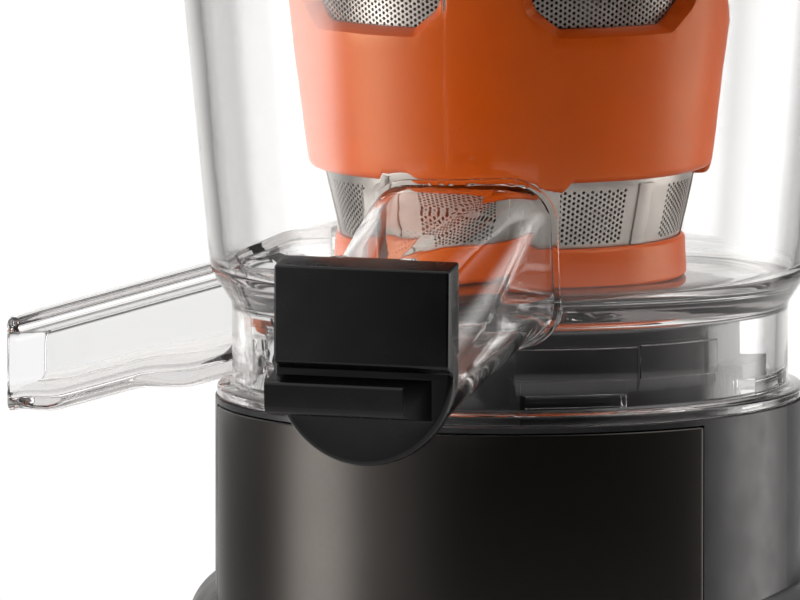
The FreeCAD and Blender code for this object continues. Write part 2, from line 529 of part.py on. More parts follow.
def rrect(y, cx, cz, hw, hh, r):
    """rounded rectangle of 8 edges in a plane across Y"""
    k = r * (1 - math.sqrt(0.5))
    P = lambda x, z: V(cx + x, y, cz + z)
    e = []
    for sx, sz in ((1, 1), (-1, 1), (-1, -1), (1, -1)):
        pass
    def ln(a, b):
        e.append(Part.LineSegment(P(*a), P(*b)).toShape())
    def arc(a, m, b):
        e.append(Part.Arc(P(*a), P(*m), P(*b)).toShape())
    ln((hw - r, hh), (-hw + r, hh)); arc((-hw + r, hh), (-hw + k, hh - k), (-hw, hh - r))
    ln((-hw, hh - r), (-hw, -hh + r)); arc((-hw, -hh + r), (-hw + k, -hh + k), (-hw + r, -hh))
    ln((-hw + r, -hh), (hw - r, -hh)); arc((hw - r, -hh), (hw - k, -hh + k), (hw, -hh + r))
    ln((hw, -hh + r), (hw, hh - r)); arc((hw, hh - r), (hw - k, hh - k), (hw - r, hh))
    return Part.Wire(e)


def spout_sections(off, y_start, y_end):
    """spout tube: rounded box at the wall, nearly round at its end"""
    out = []
    stops = [(-54.0, 12.9, RIM + 37.2, 20.4, 18.6, 9.0), (-68.0, 12.9, RIM + 37.0, 20.4, 18.6, 9.5),
             (-84.0, 13.3, RIM + 32.2, 20.3, 19.1, 12.5), (-104.0, 13.9, RIM + 25.9, 20.0, 19.6, 17.0),
             (-125.0, SPOUT_X, SPOUT_Z, SPOUT_R, SPOUT_R, SPOUT_R - 0.4)]
    for y, cx, cz, hw, hh, r in stops:
        out.append((y, cx, cz, hw - off, hh - off, max(r - off, 1.0)))
    out[0] = (y_start,) + out[0][1:]
    last = out[-1]
    out[-1] = (y_end,) + last[1:]
    if y_end < -125.0:
        k = (last[2] - out[-2][2]) / (-125.0 + 104.0)
        out[-1] = (y_end, last[1], last[2] + k * (y_end + 125.0), *last[3:])
    return [rrect(*s) for s in out]


spout_o = Part.makeLoft(spout_sections(0.0, -54.0, -125.0), True, False)
spout_i = Part.makeLoft(spout_sections(2.6, -57.0, -125.3), True, False)
print("spout", spout_o.isValid(), spout_i.isValid())


def xrect(x, zt, off):
    hw, hh, r = CHUTE_W - off, CHUTE_H - off, 6.0 - off * 0.7
    cz = zt - CHUTE_H
    k = r * (1 - math.sqrt(0.5))
    P = lambda y, z: V(x, y, cz + z)
    e = []
    def ln(a, b):
        e.append(Part.LineSegment(P(*a), P(*b)).toShape())
    def arc(a, m, b):
        e.append(Part.Arc(P(*a), P(*m), P(*b)).toShape())
    ln((hw - r, hh), (-hw + r, hh)); arc((-hw + r, hh), (-hw + k, hh - k), (-hw, hh - r))
    ln((-hw, hh - r), (-hw, -hh + r)); arc((-hw, -hh + r), (-hw + k, -hh + k), (-hw + r, -hh))
    ln((-hw + r, -hh), (hw - r, -hh)); arc((hw - r, -hh), (hw - k, -hh + k), (hw, -hh + r))
    ln((hw, -hh + r), (hw, hh - r)); arc((hw, hh - r), (hw - k, hh - k), (hw - r, hh))
    return Part.Wire(e)


ctop = lambda x: RIM + 26.2 + (x + 77.5) * 0.296
chute_o = Part.makeLoft([xrect(-61.0, ctop(-61.0), 0), xrect(CHUTE_END, ctop(CHUTE_END), 0)], True, True)
chute_i = Part.makeLoft([xrect(-62.5, ctop(-62.5), 2.6), xrect(CHUTE_END - 3, ctop(CHUTE_END - 3), 2.6)], True, True)
tun_o = prism_y([(-38.0, RIM + 25.0), (-38.0, RIM + 38.4), (-50.5, RIM + 36.8, 8), (-66.0, RIM + 30.2, 4), (-66.0, RIM + 7.6),
                 (-52.9, RIM + 9.6), (-52.9, RIM + 22.9), (-45.0, RIM + 22.9)], -12.6, 12.6)
tun_o = filleted(tun_o, 5.0, lambda e: e.Length > 20 and False)
tun_o = tun_o.cut(cyl(40.7, FLOOR_T, RIM + 60))
tun_i = prism_y([(-36.0, RIM + 27.6), (-36.0, RIM + 36.0), (-50.0, RIM + 34.3, 6), (-64.4, RIM + 28.2), (-64.4, RIM + 11.6),
                 (-54.6, RIM + 12.0), (-54.6, RIM + 24.9), (-44.0, RIM + 27.6)], -10.0, 10.0)
bowl = fuse(bowl, spout_o.cut(chamber), tun_o, chute_o)
bowl = bowl.cut(spout_i).cut(tun_i).cut(chute_i)
LUGS = TABS
for a in LUGS:
    bowl = bowl.fuse(ring(55.6, 61.0, RIM + 3.0, RIM + 6.2, a0=a - 11, a1=a + 11))
LID_LUGS = [20, 110, 200, 290]
for a in LID_LUGS:
    bowl = bowl.fuse(ring(76.6, 81.3, RIM + 131.6, RIM + 134.8, a0=a - 9, a1=a + 9))
ear = lambda x: prism_x([(-124.9, RIM + 36.0), (-124.9, RIM + 38.8), (PIN_Y - 2.4, RIM + 40.5), (PIN_Y - 2.4, PIN_Z + 2.4, 2.3),
                         (PIN_Y + 2.4, PIN_Z + 2.4, 2.3), (PIN_Y + 6.0, RIM + 38.0), (PIN_Y + 6.0, RIM + 36.0)], x, x + 2.6)
for x in (SPOUT_X - 9.6, SPOUT_X + 7.0):
    bowl = bowl.fuse(ear(x))
bowl = bowl.cut(rod(2.55, (SPOUT_X - 7.0, PIN_Y, PIN_Z), (1, 0, 0), 14.0))
bowl = bowl.cut(spout_i)
bowl = bowl.cut(rod(PIN_R, (SPOUT_X - 20, PIN_Y, PIN_Z), (1, 0, 0), 40))
plug_hole = cyl(3.0, RIM + 2.0, RIM + 16.0, -61.0, 0)
bowl = bowl.cut(plug_hole)
# the clear moulding is named by region: wall, base with floor and skirt, spout, pulp tunnel and pulp chute
WALL_Z = RIM + 34.0                     # where the wall meets the base
JOIN = 0.3                              # how far outside the wall the spout and chute begin
body = rev([(0, RIM - 1.0), (68.0, RIM - 1.0), (68.0, RIM + 4.5), (63.2 + JOIN, RIM + 6.5), (63.2 + JOIN, RIM + 21.0), (68.0 + JOIN, RIM + 28.2),
            (wall_r(RIM + 36) + JOIN, RIM + 36.0), (wall_r(RIM + 70) + JOIN, RIM + 70.0), (90.0, RIM + 80.0), (90.0, BOWL_TOP + 5.0), (0, BOWL_TOP + 5.0)])
tun_box = box(-64.35, -37.0, -12.7, 12.7, FLOOR_T, RIM + 45.0).common(chamber)
outer = bowl.cut(body)
spout = outer.common(box(-30, 50, -140, -50, RIM, RIM + 60))
chute = outer.common(box(-130, -55, -20, 20, RIM - 20, RIM + 40))
bowl = bowl.common(body)
tunnel = bowl.common(tun_box)
bowl = bowl.cut(tun_box)
upper = bowl.common(box(-90, 90, -90, 90, WALL_Z, BOWL_TOP + 1))
lower = bowl.common(box(-90, 90, -90, 90, RIM - 1, WALL_Z))
for nm, sh in (("spout", spout), ("chute", chute), ("tunnel", tunnel), ("upper", upper), ("lower", lower)):
    print(nm, [round(x.Volume, 1) for x in sh.Solids], sh.isValid())
save("bowl_wall", upper.removeSplitter())
save("bowl_base", lower.removeSplitter())
save("juice_spout", spout.removeSplitter())
save("pulp_tunnel", tunnel.removeSplitter())
save("pulp_chute", chute.removeSplitter())
plug = cyl(2.95, RIM + 7.6, RIM + 13.0, -61.0, 0).fuse(prism_y([(-58.0, RIM + 12.3), (-58.0, RIM + 18.2, 1.0), (-64.0, RIM + 16.4, 1.0), (-64.0, RIM + 12.3)], -9.0, 9.0))
save("pulp_outlet_plug", plug.removeSplitter())
save("bowl_seal", rev([(10.0, RIM + 26.6), (10.9, RIM + 25.6), (13.15, RIM + 25.0), (13.15, RIM + 29.3), (10.9, RIM + 29.3), (10.0, RIM + 28.4)]))
save("cap_hinge_pin", rod(PIN_R - 0.02, (SPOUT_X - 9.9, PIN_Y, PIN_Z), (1, 0, 0), 19.8))

# ---------------------------------------------------------------- drip stop cap
CY0 = SPOUT_Y - 1.5                     # back face of the disc
disc = rod(CAP_R, (SPOUT_X + 0.2, CY0, RIM + 20.0), (0, -1, 0), 4.0)
blk = prism_x([(CY0, RIM + 24.0), (CY0, RIM + 43.6, 0.8), (CY0 - 6.6, RIM + 43.2, 1.2), (CY0 - 7.0, RIM + 21.9, 1.4),
               (CY0 - 4.4, RIM + 20.2, 0.9), (CY0 - 3.6, RIM + 17.6, 1.5), (CY0 - 8.8, RIM + 16.9, 1.3), (CY0 - 8.4, RIM + 10.6, 2.2),
               (CY0 - 3.4, RIM + 9.4), (CY0 - 2.0, RIM + 12.0), (CY0 - 2.0, RIM + 24.0)], SPOUT_X - 19.9, SPOUT_X + 21.6)
side_cut = prism_z([(SPOUT_X + 8.5, CY0 - 12.0), (SPOUT_X + 23.0, CY0 - 3.2), (SPOUT_X + 23.0, CY0 - 12.0)], RIM + 5.0, RIM + 20.4)
blk = blk.cut(side_cut)
neckp = prism_x([(CY0 - 0.6, RIM + 40.3), (CY0 - 0.6, RIM + 43.4), (PIN_Y, PIN_Z + 2.1), (PIN_Y, PIN_Z - 2.0)], SPOUT_X - 6.7, SPOUT_X + 6.7)
barrel = rod(2.2, (SPOUT_X - 6.7, PIN_Y, PIN_Z), (1, 0, 0), 13.4)
cap = fuse(disc, blk, neckp, barrel).cut(rod(PIN_R + 0.04, (SPOUT_X - 20, PIN_Y, PIN_Z), (1, 0, 0), 40))
cap = cap.cut(rod(SPOUT_R + 0.35, (SPOUT_X, SPOUT_Y - 1.45, SPOUT_Z), (0, 1, 0.05), 12))
save("drip_stop_cap", cap.removeSplitter())
save("cap_seal", rod(19.4, (SPOUT_X, SPOUT_Y - 0.1, SPOUT_Z), (0, -1, 0), 1.4).cut(rod(15.5, (SPOUT_X, SPOUT_Y + 2, SPOUT_Z), (0, -1, 0), 6)))

# ---------------------------------------------------------------- lid, hopper, pusher
LT = BOWL_TOP + 1.8
lid = rev([(79.0 + 2.9, RIM + 128.0), (84.4, RIM + 128.0, 0.8), (84.4, LT + 1.6, 3.0), (66.0, LT + 7.5, 10.0), (44.0, LT + 17.0, 14.0), (0.0, LT + 17.0),
           (0.0, LT + 14.4), (43.2, LT + 14.4, 12.0), (65.0, LT + 4.6, 8.0), (74.0, LT + 0.2), (74.0, LT - 0.2), (81.9, LT - 0.2)])
lid = lid.fuse(ring(65.8, 68.2, BOWL_TOP - 5.0, LT + 5.2))
for a in LID_LUGS:
    lid = lid.fuse(ring(79.2, 82.6, RIM + 128.1, RIM + 131.2, a0=a - 8, a1=a + 8))
lid = lid.fuse(cyl(TUBE_RO, BOWL_TOP - 4.0, TUBE_TOP, 0, TUBE_Y))
lid = lid.cut(cyl(TUBE_RI, BOWL_TOP - 30.0, TUBE_TOP + 1, 0, TUBE_Y))
save("lid", lid.common(box(-90, 90, -90, 90, RIM + 120, LT + 18.5)).removeSplitter())
save("feed_tube", lid.common(box(-90, 90, -90, 90, LT + 18.5, TUBE_TOP + 2)).removeSplitter())
boss = cyl(9.0, BOWL_TOP - 13.0, LT + 14.4).cut(cyl(TUBE_RO, BOWL_TOP - 30.0, TUBE_TOP + 1, 0, TUBE_Y)).cut(cyl(6.5, BOWL_TOP - 14.0, BOWL_TOP - 1.0))
save("lid_boss", boss.removeSplitter())
save("lid_gasket", ring(74.4, 78.2, BOWL_TOP + 0.1, LT - 0.25))
save("lid_bush", ring(4.1, 6.45, BOWL_TOP - 13.0, BOWL_TOP - 1.2))
hop = rev([(TUBE_RO + 0.05, TUBE_TOP - 14.0), (TUBE_RO + 2.4, TUBE_TOP - 14.0, 0.6), (TUBE_RO + 4.0, TUBE_TOP - 4.0, 6.0), (50.0, TUBE_TOP + 4.0, 8.0),
           (54.0, TUBE_TOP + 16.0, 0.8), (51.8, TUBE_TOP + 16.0, 0.6), (48.4, TUBE_TOP + 6.0, 6.0), (26.0, TUBE_TOP + 0.6), (TUBE_RI, TUBE_TOP + 0.1), (TUBE_RO + 0.05, TUBE_TOP + 0.05)], 0, TUBE_Y)
save("hopper", hop)
pb = rev([(0.0, 322.0), (19.6, 322.0, 1.5), (19.6, TUBE_TOP + 14.0), (24.0, TUBE_TOP + 20.0, 3.0), (24.0, TUBE_TOP + 40.0), (22.0, TUBE_TOP + 40.0), (22.0, TUBE_TOP + 20.6),
          (17.2, TUBE_TOP + 14.0), (17.2, 324.6), (0.0, 324.6)], 0, TUBE_Y)
save("pusher_body", pb)
pc = rev([(0.0, TUBE_TOP + 40.1), (21.9, TUBE_TOP + 40.1), (21.9, TUBE_TOP + 40.1)][:2] + [(25.0, TUBE_TOP + 40.1), (25.0, TUBE_TOP + 46.0, 2.5), (12.0, TUBE_TOP + 49.0, 20.0), (0.0, TUBE_TOP + 49.0)], 0, TUBE_Y)
pc = pc.fuse(ring(19.4, 21.8, TUBE_TOP + 34.0, TUBE_TOP + 40.2, 0, TUBE_Y))
save("pusher_cap", pc.removeSplitter())
print(len(NODES), "nodes")
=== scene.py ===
import json
import math
import bpy
import bmesh
import numpy as np
from mathutils import Vector, Matrix


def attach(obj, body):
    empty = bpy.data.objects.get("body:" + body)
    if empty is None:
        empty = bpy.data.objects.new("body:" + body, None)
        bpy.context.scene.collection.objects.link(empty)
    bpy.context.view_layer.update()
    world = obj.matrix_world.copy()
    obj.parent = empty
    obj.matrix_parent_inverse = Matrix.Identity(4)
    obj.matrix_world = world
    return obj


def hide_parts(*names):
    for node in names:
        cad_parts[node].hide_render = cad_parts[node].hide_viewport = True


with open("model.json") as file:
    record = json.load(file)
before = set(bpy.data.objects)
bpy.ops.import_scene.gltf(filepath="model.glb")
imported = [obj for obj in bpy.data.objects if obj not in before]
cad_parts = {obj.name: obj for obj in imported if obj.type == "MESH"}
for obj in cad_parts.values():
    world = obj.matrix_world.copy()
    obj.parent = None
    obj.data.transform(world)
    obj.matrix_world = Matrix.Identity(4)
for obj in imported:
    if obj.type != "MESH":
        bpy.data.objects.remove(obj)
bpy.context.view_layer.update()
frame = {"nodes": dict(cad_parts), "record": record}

NODES = frame["nodes"]
scene = bpy.context.scene
MM = 0.001
RIM = 172.0
sin, cos, rad = math.sin, math.cos, math.radians

# ------------------------------------------------------------------ camera
AZ, EL = rad(21.0), rad(6.4)
RIGHT = Vector((cos(AZ), sin(AZ), 0.0))
TO_CAM = Vector((sin(AZ) * cos(EL), -cos(AZ) * cos(EL), sin(EL)))
cam_data = bpy.data.cameras.new("camera")
cam = bpy.data.objects.new("camera", cam_data)
scene.collection.objects.link(cam)
cam_data.lens, cam_data.sensor_width, cam_data.sensor_fit = 990.0, 36.0, "HORIZONTAL"
target = Vector((0, 0, (RIM + 21.5) * MM)) - RIGHT * 0.025
cam.location = target + TO_CAM * 5.0
cam.rotation_mode = "QUATERNION"
cam.rotation_quaternion = (-TO_CAM).to_track_quat("-Z", "Y")
cam_data.clip_start, cam_data.clip_end = 0.5, 40.0
scene.camera = cam
scene.view_settings.view_transform = "Standard"
scene.view_settings.look = "None"
scene.cycles.max_bounces = 20
scene.cycles.transmission_bounces = 20
scene.cycles.glossy_bounces = 8
scene.cycles.diffuse_bounces = 4
scene.cycles.transparent_max_bounces = 12
scene.cycles.sample_clamp_indirect = 6.0
scene.cycles.blur_glossy = 0.3

# ------------------------------------------------------------------ node helpers


class Mat:
    """one procedural material: Principled shader fed by object space, in mm"""

    def __init__(self, name, color, rough, metal=0.0, ior=1.5, spec=0.5):
        self.m = bpy.data.materials.new(name)
        self.m.use_nodes = True
        self.t = self.m.node_tree
        self.t.nodes.clear()
        self.out = self.t.nodes.new("ShaderNodeOutputMaterial")
        self.p = self.t.nodes.new("ShaderNodeBsdfPrincipled")
        self.t.links.new(self.p.outputs[0], self.out.inputs[0])
        s = self.p.inputs
        s["Base Color"].default_value = (*color, 1)
        s["Roughness"].default_value = rough
        s["Metallic"].default_value = metal
        s["IOR"].default_value = ior
        s["Specular IOR Level"].default_value = spec
        self.color, self.rough = color, rough
        tc = self.t.nodes.new("ShaderNodeTexCoord")
        mp = self.t.nodes.new("ShaderNodeMapping")
        mp.inputs["Scale"].default_value = (1000, 1000, 1000)
        self.t.links.new(tc.outputs["Object"], mp.inputs[0])
        self.mm = mp.outputs[0]
        self.height = None

    def n(self, kind, **inputs):
        nd = self.t.nodes.new(kind)
        for k, v in inputs.items():
            nd.inputs[k.replace("_", " ")].default_value = v
        return nd

    def link(self, a, b):
        self.t.links.new(a, b)

    def stretched(self, sx, sy, sz):
        mp = self.t.nodes.new("ShaderNodeMapping")
        mp.inputs["Scale"].default_value = (sx, sy, sz)
        self.link(self.mm, mp.inputs[0])
        return mp.outputs[0]

    def noise(self, scale, detail=3.0, rough=0.5, vec=None, distortion=0.0):
        nd = self.n("ShaderNodeTexNoise", Scale=scale, Detail=detail, Roughness=rough, Distortion=distortion)
        self.link(vec or self.mm, nd.inputs["Vector"])
        return nd.outputs[0]

    def ramp(self, src, lo, hi, a=0.35, b=0.65):
        nd = self.n("ShaderNodeMapRange")
        nd.inputs["From Min"].default_value = a
        nd.inputs["From Max"].default_value = b
        nd.inputs["To Min"].default_value = lo
        nd.inputs["To Max"].default_value = hi
        self.link(src, nd.inputs[0])
        return nd.outputs[0]

    def math(self, op, a, b):
        nd = self.t.nodes.new("ShaderNodeMath")
        nd.operation = op
        for i, v in ((0, a), (1, b)):
            if isinstance(v, (int, float)):
                nd.inputs[i].default_value = v
            else:
                self.link(v, nd.inputs[i])
        return nd.outputs[0]

    def tint(self, src, dark, light, a=0.35, b=0.65):
        """base colour between two shades, by a noise"""
        nd = self.t.nodes.new("ShaderNodeMix")
        nd.data_type = "RGBA"
        nd.inputs["A"].default_value = (*dark, 1)
        nd.inputs["B"].default_value = (*light, 1)
        self.link(self.ramp(src, 0, 1, a, b), nd.inputs["Factor"])
        self.link(nd.outputs["Result"], self.p.inputs["Base Color"])
        return nd

    def shade(self, amount, scale=0.05):
        d = [c * (1 - amount) for c in self.color]
        l = [min(1, c * (1 + amount)) for c in self.color]
        return self.tint(self.noise(scale, 4), d, l)

    def roughness(self, spread, scale=0.15, vec=None, detail=4):
        self.link(self.ramp(self.noise(scale, detail, vec=vec), self.rough - spread, self.rough + spread), self.p.inputs["Roughness"])

    def bump(self, src, depth_mm, strength=1.0):
        nd = self.t.nodes.new("ShaderNodeBump")
        nd.inputs["Strength"].default_value = strength
        nd.inputs["Distance"].default_value = depth_mm * MM
        self.link(src, nd.inputs["Height"])
        if self.height is not None:
            self.link(self.height, nd.inputs["Normal"])
        self.link(nd.outputs[0], self.p.inputs["Normal"])
        self.height = nd.outputs[0]
        return self


def grained(name, color, rough, grain=0.6, depth=0.012, vary=0.06, rvary=0.05, spec=0.5, wave=0.0):
    """moulded plastic: fine spark-eroded grain, slow colour and gloss changes"""
    m = Mat(name, color, rough, spec=spec)
    m.shade(vary, 0.04)
    m.roughness(rvary, 0.12)
    m.bump(m.noise(1.0 / grain, 5, 0.6), depth)
    if wave:
        m.bump(m.noise(0.06, 2), wave)
    return m


MATS = {}
m = grained("rubber", (0.022, 0.022, 0.023), 0.78, 0.35, 0.02, 0.12, 0.08, 0.35)
MATS["rubber"] = m
m = grained("black_plastic", (0.02, 0.02, 0.021), 0.5, 0.5, 0.012, 0.1, 0.06)
MATS["black_plastic"] = m
m = grained("housing_black", (0.012, 0.012, 0.013), 0.34, 0.45, 0.006, 0.08, 0.05, 0.5)
MATS["housing_black"] = m
m = grained("cap_black", (0.0032, 0.0029, 0.003), 0.25, 0.5, 0.004, 0.1, 0.04, 0.25, wave=0.01)
MATS["cap_black"] = m
m = grained("lid_plastic", (0.012, 0.012, 0.0125), 0.3, 0.5, 0.004, 0.04, 0.025, 0.45)
MATS["lid_plastic"] = m
m = grained("white_nylon", (0.72, 0.71, 0.67), 0.5, 0.8, 0.01, 0.03, 0.06)
m.p.inputs["Subsurface Weight"].default_value = 0.1
m.p.inputs["Subsurface Radius"].default_value = (0.002, 0.002, 0.002)
MATS["white_nylon"] = m
m = grained("auger_plastic", (0.016, 0.014, 0.014), 0.36, 0.7, 0.008, 0.1, 0.06)
MATS["auger_plastic"] = m

# orange moulded strainer frame and silicone
m = Mat("orange_plastic", (0.74, 0.099, 0.0008), 0.38, spec=0.5)
m.p.inputs["Specular Tint"].default_value = (1.0, 0.97, 0.55, 1)
m.tint(m.noise(0.035, 4), (0.71, 0.092, 0.0006), (0.77, 0.105, 0.001))
m.roughness(0.05, 0.1)
m.bump(m.noise(2.2, 4, 0.6), 0.004)
m.bump(m.noise(0.07, 2), 0.03)
m.p.inputs["Subsurface Weight"].default_value = 0.08
m.p.inputs["Subsurface Radius"].default_value = (0.003, 0.0012, 0.0006)
MATS["orange_plastic"] = m
m = Mat("orange_silicone", (0.78, 0.19, 0.05), 0.5, spec=0.4)
m.tint(m.noise(0.1, 4), (0.74, 0.17, 0.045), (0.82, 0.21, 0.06))
m.roughness(0.08, 0.3)
m.bump(m.noise(1.6, 4), 0.01)
m.p.inputs["Subsurface Weight"].default_value = 0.25
m.p.inputs["Subsurface Radius"].default_value = (0.004, 0.0015, 0.0008)
MATS["orange_silicone"] = m

# metals
m = Mat("panel_metal", (0.054, 0.0495, 0.046), 0.31, metal=1.0, spec=0.4)
m.tint(m.noise(0.03, 3), (0.0515, 0.0472, 0.0438), (0.0565, 0.0518, 0.0482))
m.roughness(0.02, 2.5)
m.bump(m.noise(4.0, 3), 0.0012)
m.bump(m.noise(0.05, 2), 0.012)
MATS["panel_metal"] = m
m = Mat("stainless_mesh", (0.50, 0.465, 0.43), 0.33, metal=1.0)
m.tint(m.noise(0.12, 4), (0.47, 0.435, 0.40), (0.53, 0.495, 0.46))
v = m.stretched(1, 1, 0.06)
m.link(m.ramp(m.noise(2.4, 4, vec=v), 0.28, 0.38), m.p.inputs["Roughness"])
m.bump(m.noise(2.4, 4, vec=v), 0.0012)
MATS["stainless_mesh"] = m
m = Mat("bright_steel", (0.6, 0.6, 0.6), 0.22, metal=1.0)
m.tint(m.noise(0.2, 4), (0.55, 0.55, 0.55), (0.64, 0.64, 0.64))
v = m.stretched(0.3, 0.3, 4)
m.link(m.ramp(m.noise(2.0, 4, vec=v), 0.15, 0.3), m.p.inputs["Roughness"])
m.bump(m.noise(2.0, 4, vec=v), 0.003)
MATS["bright_steel"] = m
m = Mat("screw_steel", (0.36, 0.37, 0.38), 0.35, metal=1.0)
m.shade(0.12, 0.5)
m.roughness(0.1, 0.6)
m.bump(m.noise(3.0, 4), 0.01)
MATS["screw_steel"] = m
m = Mat("cast_case", (0.34, 0.34, 0.35), 0.55, metal=0.9)
m.shade(0.1, 0.12)
m.roughness(0.1, 0.3)
m.bump(m.noise(1.2, 6, 0.7), 0.05)
MATS["cast_case"] = m
m = Mat("lamination_steel", (0.2, 0.2, 0.21), 0.45, metal=0.9)
m.shade(0.1, 0.2)
m.roughness(0.08, 0.4)
w = m.n("ShaderNodeTexWave", Scale=0.62, Distortion=0.0, Detail=0.0)
w.bands_direction = "Z"
m.link(m.mm, w.inputs["Vector"])
m.bump(w.outputs[1], 0.08)
MATS["lamination_steel"] = m
m = Mat("copper_wire", (0.62, 0.24, 0.1), 0.3, metal=0.9)
m.shade(0.15, 0.3)
m.roughness(0.08, 0.5)
w = m.n("ShaderNodeTexWave", Scale=0.55, Distortion=0.6, Detail=1.0)
w.bands_direction = "DIAGONAL"
m.link(m.mm, w.inputs["Vector"])
m.bump(w.outputs[1], 0.15)
MATS["copper_wire"] = m
m = Mat("bronze_bush", (0.45, 0.29, 0.14), 0.35, metal=1.0)
m.shade(0.12, 0.4)
m.roughness(0.08, 0.5)
m.bump(m.noise(3.0, 4), 0.01)
MATS["bronze_bush"] = m
m = Mat("board_green", (0.02, 0.11, 0.05), 0.35)
m.tint(m.noise(0.6, 2), (0.016, 0.09, 0.04), (0.05, 0.2, 0.09), 0.48, 0.52)
m.roughness(0.06, 0.4)
m.bump(m.noise(0.7, 2), 0.03)
MATS["board_green"] = m


def clear(name, tint, rough, wave, fine):
    m = Mat(name, tint, rough, ior=1.5)
    m.p.inputs["Transmission Weight"].default_value = 1.0
    m.tint(m.noise(0.03, 3), [c * 0.985 for c in tint], tint)
    m.link(m.ramp(m.noise(0.25, 5), rough * 0.4, rough * 1.8), m.p.inputs["Roughness"])
    m.bump(m.noise(0.055, 2, 0.4), wave)
    m.bump(m.noise(0.9, 3, 0.5), fine)
    vol = m.n("ShaderNodeVolumeAbsorption", Density=13.0)
    vol.inputs["Color"].default_value = (0.06, 0.0, 0.0, 1)
    m.link(vol.outputs[0], m.out.inputs["Volume"])
    return m


MATS["clear_plastic"] = clear("clear_plastic", (0.985, 0.985, 0.982), 0.012, 0.05, 0.0006)

# ------------------------------------------------------------------ mesh helpers (mm)


def rounded(pts, n=7, closed=True):
    """polyline through (x, y[, radius]) with its corners turned into arcs"""
    P = [(float(p[0]), float(p[1]), float(p[2]) if len(p) > 2 else 0.0) for p in pts]
    out, k = [], len(P)
    for i, (x, y, r) in enumerate(P):
        if r <= 0 or (not closed and i in (0, k - 1)):
            out.append((x, y))
            continue
        a, b = Vector(P[i - 1][:2]), Vector(P[(i + 1) % k][:2])
        c = Vector((x, y))
        u, v = (a - c), (b - c)
        lu, lv = u.length, v.length
        u.normalize(), v.normalize()
        ang = u.angle(v)
        if ang > rad(178.5):
            out.append((x, y))
            continue
        t = min(r / math.tan(ang / 2), lu * 0.48, lv * 0.48)
        r2 = t * math.tan(ang / 2)
        m_ = (u + v).normalized()
        centre = c + m_ * (r2 / sin(ang / 2))
        s, e = c + u * t - centre, c + v * t - centre
        a0 = math.atan2(s.y, s.x)
        d = math.atan2(e.y, e.x) - a0
        d = (d + math.pi) % (2 * math.pi) - math.pi
        for j in range(n + 1):
            q = a0 + d * j / n
            out.append((centre.x + r2 * cos(q), centre.y + r2 * sin(q)))
    clean = []
    for p in out:
        if not clean or (Vector(p) - Vector(clean[-1])).length > 1e-4:
            clean.append(p)
    if closed and (Vector(clean[0]) - Vector(clean[-1])).length < 1e-4:
        clean.pop()
    return clean


def split_long(pts, step, closed=True):
    """extra points on long straight runs"""
    out, k = [], len(pts)
    for i in range(k if closed else k - 1):
        a, b = Vector(pts[i]), Vector(pts[(i + 1) % k])
        m_ = max(1, int((b - a).length / step))
        out += [tuple(a.lerp(b, j / m_)) for j in range(m_)]
    if not closed:
        out.append(pts[-1])
    return out


def new_mesh(name, verts, faces, scale=MM):
    me = bpy.data.meshes.new(name)
    me.from_pydata([(x * scale, y * scale, z * scale) for x, y, z in verts], [], faces)
    me.update()
    ob = bpy.data.objects.new(name, me)
    scene.collection.objects.link(ob)
    return ob


def tidy(ob, merge=2e-6):
    bm = bmesh.new()
    bm.from_mesh(ob.data)
    bmesh.ops.remove_doubles(bm, verts=bm.verts, dist=merge)
    bmesh.ops.dissolve_degenerate(bm, edges=bm.edges, dist=merge * 0.5)
    bmesh.ops.recalc_face_normals(bm, faces=bm.faces)
    bm.to_mesh(ob.data)
    bm.free()
    ob.data.update()
    return ob


def revolve(name, prof, segs=192, cx=0.0, cy=0.0, a0=None, a1=None, radial=None):
    """closed profile of (r, z) about the vertical at cx, cy; radial(theta, r, z) -> r, z may shape it"""
    whole = a0 is None
    a0, a1 = (0.0, 360.0) if whole else (a0, a1)
    cols = segs if whole else segs + 1
    V_, F = [], []
    k = len(prof)
    for i in range(cols):
        t = a0 + (a1 - a0) * i / segs
        c, s = cos(rad(t)), sin(rad(t))
        for r, z in prof:
            if radial:
                r, z = radial(t, r, z)
            V_.append((cx + r * c, cy + r * s, z))
    for i in range(segs):
        j = (i + 1) % cols
        for q in range(k):
            w_ = (q + 1) % k
            F.append((i * k + q, j * k + q, j * k + w_, i * k + w_))
    if not whole:
        F.append(tuple(range(k)))
        F.append(tuple((cols - 1) * k + q for q in reversed(range(k))))
    return tidy(new_mesh(name, V_, F))


def loft(name, loops):
    """closed tube through loops of the same number of points, with end caps"""
    k = len(loops[0])
    V_ = [p for l in loops for p in l]
    F = []
    for i in range(len(loops) - 1):
        for q in range(k):
            w_ = (q + 1) % k
            F.append((i * k + q, i * k + w_, (i + 1) * k + w_, (i + 1) * k + q))
    F.append(tuple(reversed(range(k))))
    F.append(tuple((len(loops) - 1) * k + q for q in range(k)))
    return tidy(new_mesh(name, V_, F))


def prism(name, pts, axis, a, b, cuts=1):
    """closed outline pushed along an axis: x takes (y, z), y takes (x, z), z takes (x, y)"""
    def at(p, t):
        return {"x": (t, p[0], p[1]), "y": (p[0], t, p[1]), "z": (p[0], p[1], t)}[axis]
    return loft(name, [[at(p, a + (b - a) * i / cuts) for p in pts] for i in range(cuts + 1)])


def rod(name, r, p, d, length, segs=48, edge=0.0):
    """round bar with softened ends"""
    d = Vector(d).normalized()
    q = d.to_track_quat("Z", "Y")
    prof = rounded([(0.0, 0.0), (r, 0.0, edge), (r, length, edge), (0.0, length)], 4)
    ob = revolve(name, prof, segs)
    ob.data.transform(Matrix.Translation(Vector(p) * MM) @ q.to_matrix().to_4x4())
    return ob


def apply_all(ob):
    dg = bpy.context.evaluated_depsgraph_get()
    me = bpy.data.meshes.new_from_object(ob.evaluated_get(dg))
    old = ob.data
    ob.modifiers.clear()
    ob.data = me
    bpy.data.meshes.remove(old)
    return ob


